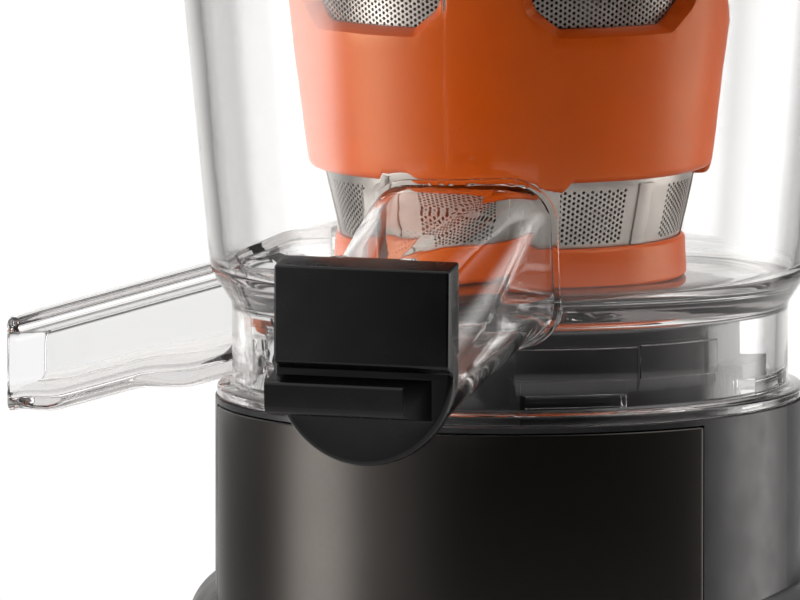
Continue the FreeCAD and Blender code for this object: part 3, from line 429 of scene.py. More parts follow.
def boolean(ob, cutter, op, keep=False):
    for solver in ("MANIFOLD", "EXACT"):
        before = len(ob.data.polygons)
        md = ob.modifiers.new("b", "BOOLEAN")
        md.operation, md.object, md.solver = op, cutter, solver
        dg = bpy.context.evaluated_depsgraph_get()
        dg.update()
        me = bpy.data.meshes.new_from_object(ob.evaluated_get(dg))
        ob.modifiers.clear()
        if len(me.polygons) > 0 and (op == "INTERSECT" or len(me.polygons) != before):
            old = ob.data
            ob.data = me
            bpy.data.meshes.remove(old)
            break
        bpy.data.meshes.remove(me)
        print("boolean", solver, op, ob.name, cutter.name, "gave nothing")
    if not keep:
        bpy.data.objects.remove(cutter)
    return ob


def add(ob, *others):
    for o in others:
        boolean(ob, o, "UNION")
    return ob


def cut(ob, *others):
    for o in others:
        boolean(ob, o, "DIFFERENCE")
    return ob


def bevel(ob, width, angle=35, segments=2, apply=True):
    md = ob.modifiers.new("bevel", "BEVEL")
    md.width, md.segments, md.limit_method, md.angle_limit = width * MM, segments, "ANGLE", rad(angle)
    md.use_clamp_overlap, md.harden_normals, md.miter_outer = True, False, "MITER_ARC"
    if apply:
        apply_all(ob)
    return ob


def smooth(ob, angle=32):
    me = ob.data
    me.polygons.foreach_set("use_smooth", [True] * len(me.polygons))
    me.set_sharp_from_angle(angle=rad(angle))
    return ob


def piece(ob, name, body, slot, nodes=(), mat=None):
    ob.name = name
    ob.data.name = name
    ob.data.materials.clear()
    ob.data.materials.append((mat or MATS[slot]).m)
    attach(ob, body)
    if nodes:
        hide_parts(*nodes)
    return ob


# ------------------------------------------------------------------ CAD nodes take the procedural finishes
SLOT_OF = {s["node"]: s["material_slot"] for s in frame["record"]["subparts"]}
for n, o in NODES.items():
    o.data.materials.clear()
    o.data.materials.append(MATS[SLOT_OF[n]].m)

# ------------------------------------------------------------------ juicing bowl, clear
BOWL_TOP, FLOOR_U, FLOOR_T, BOWL_WALL = RIM + 137.0, RIM + 24.4, RIM + 27.4, 3.8
SPOUT_X, SPOUT_Y, SPOUT_Z, SPOUT_R = 14.2, -125.0, RIM + 19.6, 19.8
PIN_Y, PIN_Z, PIN_R = -123.6, RIM + 42.2, 1.1


def wall_r(z):
    return 68.4 + (z - RIM - 32.0) * 0.0958


SEG = 288
prof = rounded([(13.2, FLOOR_U), (57.5, FLOOR_U, 1.5), (60.4, RIM + 22.0, 2.0), (60.4, RIM + 0.15), (66.6, RIM + 0.15, 0.6),
                (66.6, RIM + 2.6, 0.8), (63.2, RIM + 3.2, 1.2), (63.2, RIM + 21.5, 5.0), (68.0, RIM + 28.8, 4.0), (wall_r(RIM + 36), RIM + 36.0),
                (wall_r(BOWL_TOP), BOWL_TOP, 1.2), (wall_r(BOWL_TOP) - BOWL_WALL, BOWL_TOP, 1.2), (wall_r(RIM + 32) - BOWL_WALL, FLOOR_T, 5.0),
                (17.0, FLOOR_T, 1.0), (17.0, RIM + 29.4), (13.2, RIM + 29.4)], 8)
bowl = revolve("bowl", split_long(prof, 6.0), SEG)


def chamber():
    return revolve("chamber", split_long(rounded([(0, FLOOR_T), (wall_r(RIM + 32) - BOWL_WALL, FLOOR_T, 5.0),
                                                  (wall_r(BOWL_TOP) - BOWL_WALL, BOWL_TOP, 0), (0, BOWL_TOP)], 8), 6.0), SEG)


def rrect_pts(hw, hh, r, n=8, m_=6):
    """rounded rectangle, the same number of points whatever its size"""
    out = []
    for sx, sy, a in ((1, 1, 0), (-1, 1, 90), (-1, -1, 180), (1, -1, 270)):
        for i in range(n + 1):
            t = rad(a + 90 * i / n)
            out.append((sx * (hw - r) + r * cos(t), sy * (hh - r) + r * sin(t)))
        nx = {0: (-1, 1), 90: (-1, -1), 180: (1, -1), 270: (1, 1)}[a]
        e = rad(a + 90)
        p0 = (sx * (hw - r) + r * cos(e), sy * (hh - r) + r * sin(e))
        p1 = (nx[0] * (hw - r) + r * cos(e), nx[1] * (hh - r) + r * sin(e))
        for i in range(1, m_):
            out.append((p0[0] + (p1[0] - p0[0]) * i / m_, p0[1] + (p1[1] - p0[1]) * i / m_))
    return out


STOPS = [(-54.0, 12.9, RIM + 37.2, 20.4, 18.6, 9.0), (-68.0, 12.9, RIM + 37.0, 20.4, 18.6, 9.5), (-84.0, 13.3, RIM + 32.2, 20.3, 19.1, 12.5),
         (-104.0, 13.9, RIM + 25.9, 20.0, 19.6, 17.0), (-125.0, SPOUT_X, SPOUT_Z, SPOUT_R, SPOUT_R, SPOUT_R - 0.4)]


def spline_at(ys, vs, y):
    """smooth value between the stops"""
    i = max(0, min(len(ys) - 2, next((k for k in range(len(ys) - 1) if y >= ys[k + 1]), len(ys) - 2)))
    def slope(k):
        if k <= 0 or k >= len(ys) - 1:
            k0, k1 = (0, 1) if k <= 0 else (len(ys) - 2, len(ys) - 1)
        else:
            k0, k1 = k - 1, k + 1
        return (vs[k1] - vs[k0]) / (ys[k1] - ys[k0])
    h = ys[i + 1] - ys[i]
    t = (y - ys[i]) / h
    m0, m1 = slope(i) * h, slope(i + 1) * h
    return (2 * t**3 - 3 * t**2 + 1) * vs[i] + (t**3 - 2 * t**2 + t) * m0 + (-2 * t**3 + 3 * t**2) * vs[i + 1] + (t**3 - t**2) * m1


def ease(x):
    x = min(1.0, max(0.0, x))
    return x * x * (3 - 2 * x)


def spout(name, off, y0, y1, steps=34):
    ys = [s[0] for s in STOPS]
    loops = []
    for i in range(steps + 1):
        y = y0 + (y1 - y0) * i / steps
        cx, cz, hw, hh, r = (spline_at(ys, [s[k] for s in STOPS], y) for k in range(1, 6))
        hw, hh, r = hw - off, hh - off, min(max(r - off, 1.0), hw - off - 0.2, hh - off - 0.2)
        loops.append([(cx + a, y, cz + b) for a, b in rrect_pts(hw, hh, r, 10, 6)])
    return loft(name, loops)


def chute(name, off, x0, x1, steps=10):
    top = lambda x: RIM + 26.2 + (x + 77.5) * 0.296
    loops = []
    for i in range(steps + 1):
        x = x0 + (x1 - x0) * i / steps
        deep = (10.9 + 2.8 * ease((x + 118.0) / 12.0) + 3.0 * ease((x + 88.0) / 16.0)) / 10.9
        low = RIM + (0.7 if x > -69.0 else -9.0) + off
        loops.append([(x, a, max(top(x) - 10.9 + (b if b > 0 else b * deep), low)) for a, b in rrect_pts(13.0 - off, 10.9 - off, 2.6 + off * 0.9, 8, 4)])
    return loft(name, loops)


TUN_O = rounded([(-38.0, RIM + 25.0), (-38.0, RIM + 38.4), (-50.5, RIM + 36.8, 8), (-66.0, RIM + 30.2, 4), (-66.0, RIM + 7.6),
                 (-52.9, RIM + 9.6), (-52.9, RIM + 22.9), (-45.0, RIM + 22.9)], 6)
TUN_I = rounded([(-36.0, RIM + 27.6), (-36.0, RIM + 36.0), (-50.0, RIM + 34.3, 6), (-64.4, RIM + 28.2), (-64.4, RIM + 11.6),
                 (-54.6, RIM + 12.0), (-54.6, RIM + 24.9), (-44.0, RIM + 27.6)], 6)
sp = cut(spout("spout_o", 0.0, -54.0, -125.0), chamber())
collar = boolean(spout("collar", -1.1, -54.0, -76.0), revolve("shell", [(wall_r(z) + t, z) for z, t in (
    (RIM + 14, -1.0), (RIM + 14, 0.55), (RIM + 64, 0.55), (RIM + 64, -1.0))], SEG), "INTERSECT")
bevel(collar, 0.3, 50, 3)
tun = prism("tun_o", TUN_O, "y", -12.6, 12.6, 4)
cut(tun, revolve("c", [(0, FLOOR_T), (40.7, FLOOR_T), (40.7, RIM + 60), (0, RIM + 60)], SEG))
bevel(tun, 0.6, 50, 2)
add(bowl, collar, sp, tun, chute("chute_o", 0.0, -61.0, -118.0, 24))
cut(bowl, spout("spout_i", 2.6, -57.0, -125.3, 60), prism("tun_i", TUN_I, "y", -10.0, 10.0, 4), chute("chute_i", 2.4, -62.5, -121.0, 24))
LUGS, LID_LUGS = [245, 305, 5, 65, 125], [20, 110, 200, 290]


def lug(r0, r1, z0, z1, a, half, edge=0.5):
    return revolve("lug", rounded([(r0, z0, edge), (r1, z0), (r1, z1), (r0, z1, edge)], 3), 16, a0=a - half, a1=a + half)


for a in LUGS:
    add(bowl, lug(55.6, 61.0, RIM + 3.0, RIM + 6.2, a, 11))
for a in LID_LUGS:
    add(bowl, revolve("lug", rounded([(76.6, RIM + 131.6), (81.3, RIM + 131.6, 0.7), (81.3, RIM + 134.8, 0.7), (76.6, RIM + 134.8)], 3), 16, a0=a - 9, a1=a + 9))


def ear(x):
    return prism("ear", rounded([(-124.9, RIM + 36.0), (-124.9, RIM + 38.8), (PIN_Y - 2.4, RIM + 40.5), (PIN_Y - 2.4, PIN_Z + 2.4, 2.3),
                                 (PIN_Y + 2.4, PIN_Z + 2.4, 2.3), (PIN_Y + 6.0, RIM + 38.0), (PIN_Y + 6.0, RIM + 36.0)], 5), "x", x, x + 2.6)


add(bowl, ear(SPOUT_X - 9.6), ear(SPOUT_X + 7.0))
for a0_, a1_, z1_ in ((0.6, 26.5, 17.3), (27.3, 47.0, 17.6), (-60.0, -44.0, 17.3)):
    add(bowl, revolve("pad", rounded([(62.6, RIM + 9.9), (63.7, RIM + 9.9, 0.3), (63.7, RIM + z1_, 0.3), (62.6, RIM + z1_)], 3), 24, a0=291.0 + a0_, a1=291.0 + a1_))
# the mould's parting ridge up the wall
add(bowl, revolve("ridge", [(wall_r(RIM + 60) - 0.5, RIM + 60.0), (wall_r(RIM + 60) + 0.12, RIM + 60.0), (wall_r(BOWL_TOP - 6) + 0.12, BOWL_TOP - 6.0),
                            (wall_r(BOWL_TOP - 6) - 0.5, BOWL_TOP - 6.0)], 2, a0=278.8, a1=279.15))
cut(bowl, rod("c", 2.55, (SPOUT_X - 7.0, PIN_Y, PIN_Z), (1, 0, 0), 14.0), spout("spout_i", 2.6, -57.0, -125.3, 60),
    rod("c", PIN_R, (SPOUT_X - 20, PIN_Y, PIN_Z), (1, 0, 0), 40), rod("c", 3.0, (-61.0, 0, RIM + 2.0), (0, 0, 1), 14.0))
tidy(bowl)
bevel(bowl, 0.22, 40, 2)
smooth(bowl, 30)
piece(bowl, "juicing_bowl_clear", "bowl", "clear_plastic",
      [n for n in ("juicing_bowl", "bowl_wall", "bowl_base", "juice_spout", "pulp_tunnel", "pulp_chute") if n in NODES])

plug = prism("plug", rounded([(-58.2, RIM + 14.4, 0.6), (-58.2, RIM + 17.9, 1.0), (-63.8, RIM + 16.3, 1.0), (-63.8, RIM + 14.4, 0.6)], 4), "y", -7.5, 7.5, 2)
bevel(plug, 0.6, 50, 3)
add(plug, rod("stem", 2.9, (-61.0, 0.0, RIM + 12.2), (0, 0, 1), 3.0, 40, 0.5))
smooth(plug, 40)
piece(plug, "pulp_outlet_plug_soft", "bowl", "orange_silicone", ["pulp_outlet_plug"])

# ------------------------------------------------------------------ strainer sheet with real holes
MR = [(29.0, 36.4), (37.0, 38.2), (51.0, 41.4), (87.5, 46.0), (125.0, 50.6)]


def mesh_r(q):
    for (a, ra), (b, rb) in zip(MR, MR[1:]):
        if q <= b:
            return ra + (rb - ra) * (q - a) / (b - a)
    return MR[-1][1]


CAM_DEG = 291.0


def perforated(cols, q0, q1, pitch, hole, is_open, V_, F):
    """honeycomb of cells over the cone: an open cell keeps a hexagonal hole"""
    step = 360.0 / cols
    rows = int(round((q1 - q0) / pitch))
    pz = (q1 - q0) / rows
    rmid = mesh_r((q0 + q1) / 2)
    arc = rad(step) * rmid
    key = {}

    def vert(u, q):
        """u in column steps"""
        q = min(max(q, q0), q1)
        u %= cols
        k = (round(u * 60) % (cols * 60), round(q * 500))
        if k not in key:
            key[k] = len(V_)
            t, r = rad(u * step), mesh_r(q)
            V_.append((r * cos(t), r * sin(t), RIM + q))
        return key[k]

    third = 1.0 / 3.0
    for c in range(cols):
        for rw in range(rows + (c % 2)):
            qc = q0 + pz * (rw + (0.0 if c % 2 else 0.5))
            out = [(c + 2 * third, qc), (c + third, qc + pz / 2), (c - third, qc + pz / 2),
                   (c - 2 * third, qc), (c - third, qc - pz / 2), (c + third, qc - pz / 2)]
            ov = [vert(u, q) for u, q in out]
            edge_cell = qc - pz / 2 < q0 - 1e-6 or qc + pz / 2 > q1 + 1e-6
            if not edge_cell and is_open(c * step, qc):
                iv = []
                for j in range(6):
                    t = rad(60 * j)
                    iv.append(len(V_))
                    u, q = c + hole * cos(t) / arc, qc + hole * sin(t)
                    tt, r = rad(u * step), mesh_r(q)
                    V_.append((r * cos(tt), r * sin(tt), RIM + q))
                for j in range(6):
                    w_ = (j + 1) % 6
                    F.append((ov[j], ov[w_], iv[w_], iv[j]))
            else:
                f = []
                for x in ov:
                    if x not in f:
                        f.append(x)
                if len(f) > 2:
                    F.append(tuple(f))


def in_panel(t, q):
    off = (t - CAM_DEG) % 45.0
    return 14.1 <= off <= 38.7 and 38.4 < q < 50.6


def in_window(t, q):
    off = (t + 76.0 + 36.0) % 72.0 - 36.0
    return abs(off) > 9.0 and 86.6 < q < 111.8


V_, F = [], []
perforated(236, 36.2, 53.4, 1.23, 0.42, in_panel, V_, F)
perforated(280, 84.8, 113.4, 1.23, 0.42, in_window, V_, F)
for q0, q1 in ((53.4, 84.8), (113.4, 122.4)):
    base, k = len(V_), 144
    for q in (q0, (q0 + q1) / 2, q1):
        V_ += [(mesh_r(q) * cos(rad(i * 2.5)), mesh_r(q) * sin(rad(i * 2.5)), RIM + q) for i in range(k)]
    for j in range(2):
        F += [(base + j * k + i, base + j * k + (i + 1) % k, base + (j + 1) * k + (i + 1) % k, base + (j + 1) * k + i) for i in range(k)]
sheet = tidy(new_mesh("sheet", V_, F), 1e-7)
bm = bmesh.new()
bm.from_mesh(sheet.data)
for f in bm.faces:
    c = f.calc_center_median()
    if f.normal.dot(Vector((c.x, c.y, 0))) < 0:
        f.normal_flip()
bm.to_mesh(sheet.data)
bm.free()
md = sheet.modifiers.new("s", "SOLIDIFY")
md.thickness, md.offset = 0.3 * MM, -1.0
apply_all(sheet)
smooth(sheet, 40)
# flat pressed ribs between the panels
RV, RF = [], []
for k in range(8):
    a = CAM_DEG + 47.2 + 45 * k
    prof = rounded([(-3.3, -0.1), (-3.3, 0.42, 0.3), (3.3, 0.42, 0.3), (3.3, -0.1)], 3)
    base = len(RV)
    for j in range(9):
        q = 37.6 + (51.6 - 37.6) * j / 8
        for u, h in prof:
            t, r = rad(a + u), mesh_r(q) + h
            RV.append((r * cos(t), r * sin(t), RIM + q))
    n_ = len(prof)
    for j in range(8):
        for i in range(n_):
            w_ = (i + 1) % n_
            RF.append((base + j * n_ + i, base + j * n_ + w_, base + (j + 1) * n_ + w_, base + (j + 1) * n_ + i))
    RF.append(tuple(base + i for i in reversed(range(n_))))
    RF.append(tuple(base + 8 * n_ + i for i in range(n_)))
ribs = smooth(tidy(new_mesh("ribs", RV, RF)), 40)
piece(sheet, "strainer_mesh_sheet", "bowl", "stainless_mesh", ["strainer_mesh"])
piece(ribs, "strainer_mesh_ribs", "bowl", "stainless_mesh", ["strainer_mesh"])

# ------------------------------------------------------------------ orange frame of the strainer


def tab_drop(t):
    off = abs((t + 75.6 + 60.0) % 120.0 - 60.0)
    return 2.2 * (1 - ease((off - 21.5) / 3.2))


def shape_band(t, r, z):
    q = z - RIM
    k = max(0.0, 1 - (q - 52.9) / 5.0) if q >= 52.9 else 1.0
    return r - 0.25 * tab_drop(t) * k * 0.6, z - tab_drop(t) * ease(k)


def inner(q):
    return mesh_r(q) + 0.06


prof = rounded([(inner(52.9), RIM + 52.9), (45.7, RIM + 52.9, 2.8), (49.95, RIM + 87.3, 0.4), (53.1, RIM + 113.0, 0.4), (54.5, RIM + 124.9, 1.0),
                (50.75, RIM + 124.9, 0.4), (50.6, RIM + 122.7), (inner(122.0), RIM + 122.0), (inner(100.0), RIM + 100.0), (inner(87.5), RIM + 87.5)], 8)
band = revolve("band", split_long(prof, 4.0), 360, radial=shape_band)


def window(a):
    """window in the frame: low corners slanted, its edge flared outwards"""
    loops = []
    for r, g in ((43.0, -0.6), (47.0, -0.6), (50.6, 1.7), (57.0, 2.6)):
        pts = rounded([(-16.4 - g * 0.7, 87.5 - g, 3.0), (16.4 + g * 0.7, 87.5 - g, 3.0), (24.0 + g * 1.1, 92.8 - g * 0.4, 5.0),
                       (24.4 + g * 1.1, 108.4 + g * 0.4, 5.0), (20.0 + g, 111.4 + g, 3.0), (-20.0 - g, 111.4 + g, 3.0),
                       (-24.4 - g * 1.1, 108.4 + g * 0.4, 5.0), (-24.0 - g * 1.1, 92.8 - g * 0.4, 5.0)], 5)
        pts = split_long(pts, 2.0)
        loops.append([(r * cos(rad(a + u)), r * sin(rad(a + u)), RIM + q) for u, q in pts])
    n_ = min(len(l) for l in loops)
    if any(len(l) != n_ for l in loops):
        loops = []
        for r, g in ((43.0, -0.6), (47.0, -0.6), (50.6, 1.7), (57.0, 2.6)):
            pts = rounded([(-16.4 - g * 0.7, 87.5 - g, 3.0), (16.4 + g * 0.7, 87.5 - g, 3.0), (24.0 + g * 1.1, 92.8 - g * 0.4, 5.0),
                           (24.4 + g * 1.1, 108.4 + g * 0.4, 5.0), (20.0 + g, 111.4 + g, 3.0), (-20.0 - g, 111.4 + g, 3.0),
                           (-24.4 - g * 1.1, 108.4 + g * 0.4, 5.0), (-24.0 - g * 1.1, 92.8 - g * 0.4, 5.0)], 5)
            dense = []
            for i in range(len(pts)):
                p, s = Vector(pts[i]), Vector(pts[(i + 1) % len(pts)])
                dense += [tuple(p.lerp(s, j / 6)) for j in range(6)]
            loops.append([(r * cos(rad(a + u)), r * sin(rad(a + u)), RIM + q) for u, q in dense])
    return loft("window", loops)


for k in range(5):
    cut(band, window(-76.0 + 36.0 + 72.0 * k))
tidy(band)
bevel(band, 0.35, 38, 2)
smooth(band, 34)
piece(band, "strainer_frame", "bowl", "orange_plastic", ["strainer_band"])

# ------------------------------------------------------------------ drip stop cap
CY0 = SPOUT_Y - 1.5
disc_prof = rounded([(0.0, 0.0), (21.4, 0.0, 0.5), (21.4, 4.0, 1.2), (0.0, 4.0)], 6)
cap = revolve("cap", disc_prof, 192)
cap.data.transform(Matrix.Translation(Vector((SPOUT_X + 0.2, CY0, RIM + 20.0)) * MM) @ Matrix.Rotation(rad(90), 4, "X"))
blk = prism("blk", rounded([(CY0 + 0.2, RIM + 24.0), (CY0 + 0.2, RIM + 44.8, 0.6), (CY0 - 6.6, RIM + 43.0, 0.8), (CY0 - 7.0, RIM + 21.4, 1.0),
                            (CY0 - 4.2, RIM + 20.2, 0.7), (CY0 - 2.6, RIM + 18.0), (CY0 - 2.0, RIM + 24.0)], 6), "x", SPOUT_X - 19.9, SPOUT_X + 21.6, 1)
bevel(blk, 0.6, 40, 4)
lip = prism("lip", rounded([(CY0 - 1.0, RIM + 20.6), (CY0 - 3.4, RIM + 18.6, 1.5), (CY0 - 8.8, RIM + 17.0, 1.0), (CY0 - 8.4, RIM + 10.2, 2.0),
                            (CY0 - 3.4, RIM + 9.2), (CY0 - 1.0, RIM + 12.0)], 6), "x", SPOUT_X - 21.4, SPOUT_X + 21.4, 1)
cut(lip, prism("c", [(SPOUT_X + 11.5, CY0 - 12.0), (SPOUT_X + 11.5, CY0 - 8.0), (SPOUT_X + 22.0, CY0 + 0.2), (SPOUT_X + 26.0, CY0 - 12.0)], "z", RIM + 4.0, RIM + 24.0))
bevel(lip, 0.45, 40, 3)
add(cap, blk)
add(cap, lip)
add(cap, prism("n", [(CY0 - 0.6, RIM + 40.3), (CY0 - 0.6, RIM + 43.3), (PIN_Y, PIN_Z + 2.0), (PIN_Y, PIN_Z - 1.9)], "x", SPOUT_X - 6.6, SPOUT_X + 6.6))
add(cap, rod("barrel", 2.2, (SPOUT_X - 6.7, PIN_Y, PIN_Z), (1, 0, 0), 13.4, 32))
cut(cap, rod("c", PIN_R + 0.04, (SPOUT_X - 20, PIN_Y, PIN_Z), (1, 0, 0), 40, 32))
cut(cap, rod("c", SPOUT_R + 0.35, (SPOUT_X, SPOUT_Y - 1.45, SPOUT_Z), (0, 1, 0.05), 12, 128))
tidy(cap)
bevel(cap, 0.25, 50, 2)
smooth(cap, 34)
piece(cap, "drip_stop_cap_moulded", "cap", "cap_black", ["drip_stop_cap"])

# ------------------------------------------------------------------ front panel
prof = rounded([(65.3, 12.3, 0.3), (67.0, 12.3, 0.5), (67.0, 170.5, 0.5), (65.3, 170.5, 0.3)], 4)
panel = revolve("panel", split_long(prof, 40.0), 192, a0=270 - 61.2, a1=270 + 61.2)
cut(panel, rod("c", 22.6, (58.0 * sin(rad(38)), -58.0 * cos(rad(38)), 84.0), (sin(rad(38)), -cos(rad(38)), 0), 14, 96))
bevel(panel, 0.25, 50, 2)
smooth(panel, 30)
piece(panel, "front_panel_skin", "base", "panel_metal", ["front_panel"])

# printed dial marks round the knob: three ticks with 0, 1 and 2
KNOB_DEG, KNOB_Z, R_PRINT = 270.0 + 38.0, 84.0, 67.0
DV, DF = [], []


def stroke(p, q, w):
    """short flat bar on the drum's face, from p to q in mm (across, up)"""
    p, q = Vector(p), Vector(q)
    d = (q - p).normalized() * w / 2
    n = Vector((-d.y, d.x))
    base = len(DV)
    for r in (R_PRINT - 0.2, R_PRINT + 0.05):
        for c in (p - d - n, q + d - n, q + d + n, p - d + n):
            t = rad(KNOB_DEG) + c.x / R_PRINT
            DV.append((r * cos(t), r * sin(t), KNOB_Z + c.y))
    DF.extend(tuple(base + i for i in f) for f in ((3, 2, 1, 0), (4, 5, 6, 7), (0, 1, 5, 4), (1, 2, 6, 5), (2, 3, 7, 6), (3, 0, 4, 7)))


for ang in (-45, 0, 45):
    stroke((23.8 * sin(rad(ang)), 23.8 * cos(rad(ang))), (26.4 * sin(rad(ang)), 26.4 * cos(rad(ang))), 0.8)
for ang in (-30, -15, 15, 30):
    stroke((24.2 * sin(rad(ang)), 24.2 * cos(rad(ang))), (25.2 * sin(rad(ang)), 25.2 * cos(rad(ang))), 0.45)
GLYPHS = {"0": [[(1.5 * cos(rad(a)), 2.4 * sin(rad(a))) for a in range(0, 361, 20)]],
          "1": [[(-1.1, 1.4), (0.2, 2.4), (0.2, -2.4)]],
          "2": [[(-1.4, 1.4), (-1.1, 2.1), (-0.3, 2.4), (0.6, 2.3), (1.3, 1.7), (1.3, 0.9), (0.8, 0.0), (-1.4, -2.4), (1.5, -2.4)]]}
for ang, key in ((0, "0"), (45, "1"), (-45, "2")):
    cx, cz = 31.4 * sin(rad(ang)), 31.4 * cos(rad(ang))
    for line in GLYPHS[key]:
        for p, q in zip(line, line[1:]):
            stroke((cx + p[0], cz + p[1]), (cx + q[0], cz + q[1]), 0.6)
dial = tidy(new_mesh("dial", DV, DF), 1e-8)
piece(dial, "dial_marks", "base", "white_nylon")

# ------------------------------------------------------------------ world, lights and floor
world = bpy.data.worlds.new("world")
scene.world = world
world.use_nodes = True
wt = world.node_tree
wt.nodes.clear()
wo = wt.nodes.new("ShaderNodeOutputWorld")
tc = wt.nodes.new("ShaderNodeTexCoord")


def wnode(kind, op=None, *args):
    d = wt.nodes.new(kind)
    if op:
        d.operation = op
    for i, v in enumerate(args):
        if isinstance(v, bpy.types.NodeSocket):
            wt.links.new(v, d.inputs[i])
        elif v is not None:
            d.inputs[i].default_value = v
    return d


def toward(deg, up=0.0):
    return (cos(rad(up)) * cos(rad(deg)), cos(rad(up)) * sin(rad(deg)), sin(rad(up)))


def lobe(vec, wide, core, power):
    """soft round light in the surroundings: full inside core degrees, gone at wide degrees"""
    d = wnode("ShaderNodeVectorMath", "DOT_PRODUCT", tc.outputs["Generated"], vec)
    r = wt.nodes.new("ShaderNodeMapRange")
    r.interpolation_type = "SMOOTHERSTEP"
    for k, v in (("From Min", cos(rad(wide))), ("From Max", cos(rad(core))), ("To Min", 0.0), ("To Max", power)):
        r.inputs[k].default_value = v
    wt.links.new(d.outputs["Value"], r.inputs["Value"])
    return r.outputs[0]


LIGHTS = ((toward(CAM_DEG - 80, -4), 21, 0, 5.2), (toward(CAM_DEG - 70, 0), 48, 4, 0.6), (toward(CAM_DEG + 110, -2), 26, 4, 3.0), (toward(CAM_DEG - 64, 42), 34, 8, 1.4),
          (toward(CAM_DEG + 80, 42), 34, 8, 2.0), ((0.0, 0.25, 0.968), 50, 10, 1.4), (toward(CAM_DEG - 130, 30), 40, 10, 0.8))
# directions that are white behind clear parts: what lies behind the object for each way it is looked at
BACKS = ((111.0, -6.4, 28, 8), (135.0, -25.0, 24, 10), (90.0, -3.0, 22, 8), (180.0, -3.0, 22, 9), (315.0, -15.0, 22, 9))
# surroundings that surfaces reflect and are lit by: white behind the object, dark in front of it, soft lights at its sides
flat = Vector((TO_CAM.x, TO_CAM.y, 0)).normalized()
dot = wnode("ShaderNodeVectorMath", "DOT_PRODUCT", tc.outputs["Generated"], tuple(flat)).outputs["Value"]
ramp = wt.nodes.new("ShaderNodeValToRGB")
half = wnode("ShaderNodeMath", "MULTIPLY_ADD", dot, 0.5, 0.5).outputs[0]
wt.links.new(half, ramp.inputs[0])
el = ramp.color_ramp.elements
el[0].position, el[0].color = 0.0, (1.0, 1.0, 1.0, 1)
el[1].position, el[1].color = 1.0, (0.007, 0.007, 0.007, 1)
for q, v_ in ((0.03, 0.72), (0.08, 0.28), (0.2, 0.09), (0.5, 0.05), (0.68, 0.016)):
    e_ = el.new(q)
    e_.color = (v_, v_, v_, 1)
total = ramp.outputs[0]
for vec, wide, core, power in LIGHTS:
    total = wnode("ShaderNodeMath", "ADD", total, lobe(vec, wide, core, power)).outputs[0]
bgs = wt.nodes.new("ShaderNodeBackground")
bgs.inputs[0].default_value = (1.0, 0.985, 0.965, 1)
wt.links.new(total, bgs.inputs[1])
bgc = wt.nodes.new("ShaderNodeBackground")
bgc.inputs[0].default_value = (1, 1, 1, 1)
lp = wt.nodes.new("ShaderNodeLightPath")
seen = None
for deg, up, wide, core in BACKS:
    one = lobe(toward(deg, up), wide, core, 1.0)
    seen = one if seen is None else wnode("ShaderNodeMath", "MAXIMUM", seen, one).outputs[0]
seen = wnode("ShaderNodeMath", "MULTIPLY_ADD", seen, 0.95, 0.07).outputs[0]
wt.links.new(wnode("ShaderNodeMath", "MAXIMUM", seen, lp.outputs["Is Camera Ray"]).outputs[0], bgc.inputs[1])
bounced = wnode("ShaderNodeMath", "SUBTRACT", lp.outputs["Ray Depth"], lp.outputs["Transmission Depth"]).outputs[0]
clean = wnode("ShaderNodeMath", "LESS_THAN", bounced, 1.5).outputs[0]
through = wnode("ShaderNodeMath", "MULTIPLY", clean, lp.outputs["Is Transmission Ray"]).outputs[0]
straight = wnode("ShaderNodeMath", "MAXIMUM", through, lp.outputs["Is Camera Ray"]).outputs[0]
mix = wt.nodes.new("ShaderNodeMixShader")
wt.links.new(straight, mix.inputs[0])
wt.links.new(bgs.outputs[0], mix.inputs[1])
wt.links.new(bgc.outputs[0], mix.inputs[2])
wt.links.new(mix.outputs[0], wo.inputs[0])
world.cycles.sampling_method = "MANUAL"
world.cycles.sample_map_resolution = 1024


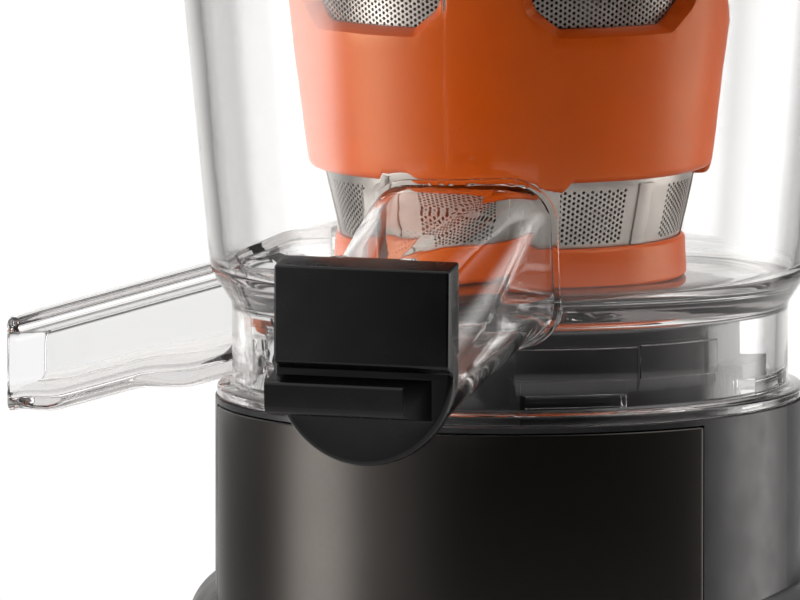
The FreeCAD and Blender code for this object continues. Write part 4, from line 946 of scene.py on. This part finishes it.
def softbox(name, deg, dist, height, w, h, watts, aim=0.2, color=(1, 1, 1)):
    l = bpy.data.lights.new(name, "AREA")
    l.shape, l.size, l.size_y, l.energy, l.color = "RECTANGLE", w, h, watts, color
    o = bpy.data.objects.new(name, l)
    scene.collection.objects.link(o)
    o.location = (dist * cos(rad(deg)), dist * sin(rad(deg)), height)
    o.rotation_mode = "QUATERNION"
    o.rotation_quaternion = (Vector((0, 0, aim)) - o.location).to_track_quat("-Z", "Y")
    o.visible_camera = False
    return o


softbox("fill_left", CAM_DEG - 64, 1.4, 1.25, 0.4, 0.6, 0.8)
softbox("fill_top", CAM_DEG - 150, 0.9, 1.3, 1.2, 0.8, 1.6)

fl = bpy.data.materials.new("floor")
fl.use_nodes = True
t = fl.node_tree
t.nodes.clear()
fo = t.nodes.new("ShaderNodeOutputMaterial")
fp = t.nodes.new("ShaderNodeBsdfPrincipled")
fp.inputs["Base Color"].default_value = (0.86, 0.86, 0.86, 1)
fp.inputs["Roughness"].default_value = 0.6
ftc = t.nodes.new("ShaderNodeTexCoord")
fgr = t.nodes.new("ShaderNodeVectorMath")
fgr.operation = "LENGTH"
t.links.new(ftc.outputs["Object"], fgr.inputs[0])
fmr = t.nodes.new("ShaderNodeMapRange")
fmr.interpolation_type = "SMOOTHSTEP"
for k, v in (("From Min", 0.45), ("From Max", 0.92), ("To Min", 0.0), ("To Max", 1.0)):
    fmr.inputs[k].default_value = v
t.links.new(fgr.outputs["Value"], fmr.inputs["Value"])
ftr = t.nodes.new("ShaderNodeBsdfTransparent")
fmx = t.nodes.new("ShaderNodeMixShader")
t.links.new(fmr.outputs[0], fmx.inputs[0])
t.links.new(fp.outputs[0], fmx.inputs[1])
t.links.new(ftr.outputs[0], fmx.inputs[2])
t.links.new(fmx.outputs[0], fo.inputs[0])
bm = bmesh.new()
bmesh.ops.create_grid(bm, x_segments=8, y_segments=8, size=0.95)
me = bpy.data.meshes.new("floor")
bm.to_mesh(me)
bm.free()
floor = bpy.data.objects.new("floor", me)
scene.collection.objects.link(floor)
floor.data.materials.append(fl)
floor.location.z = -0.0002

for o in (bowl, NODES["pusher_body"]):
    o.visible_shadow = False
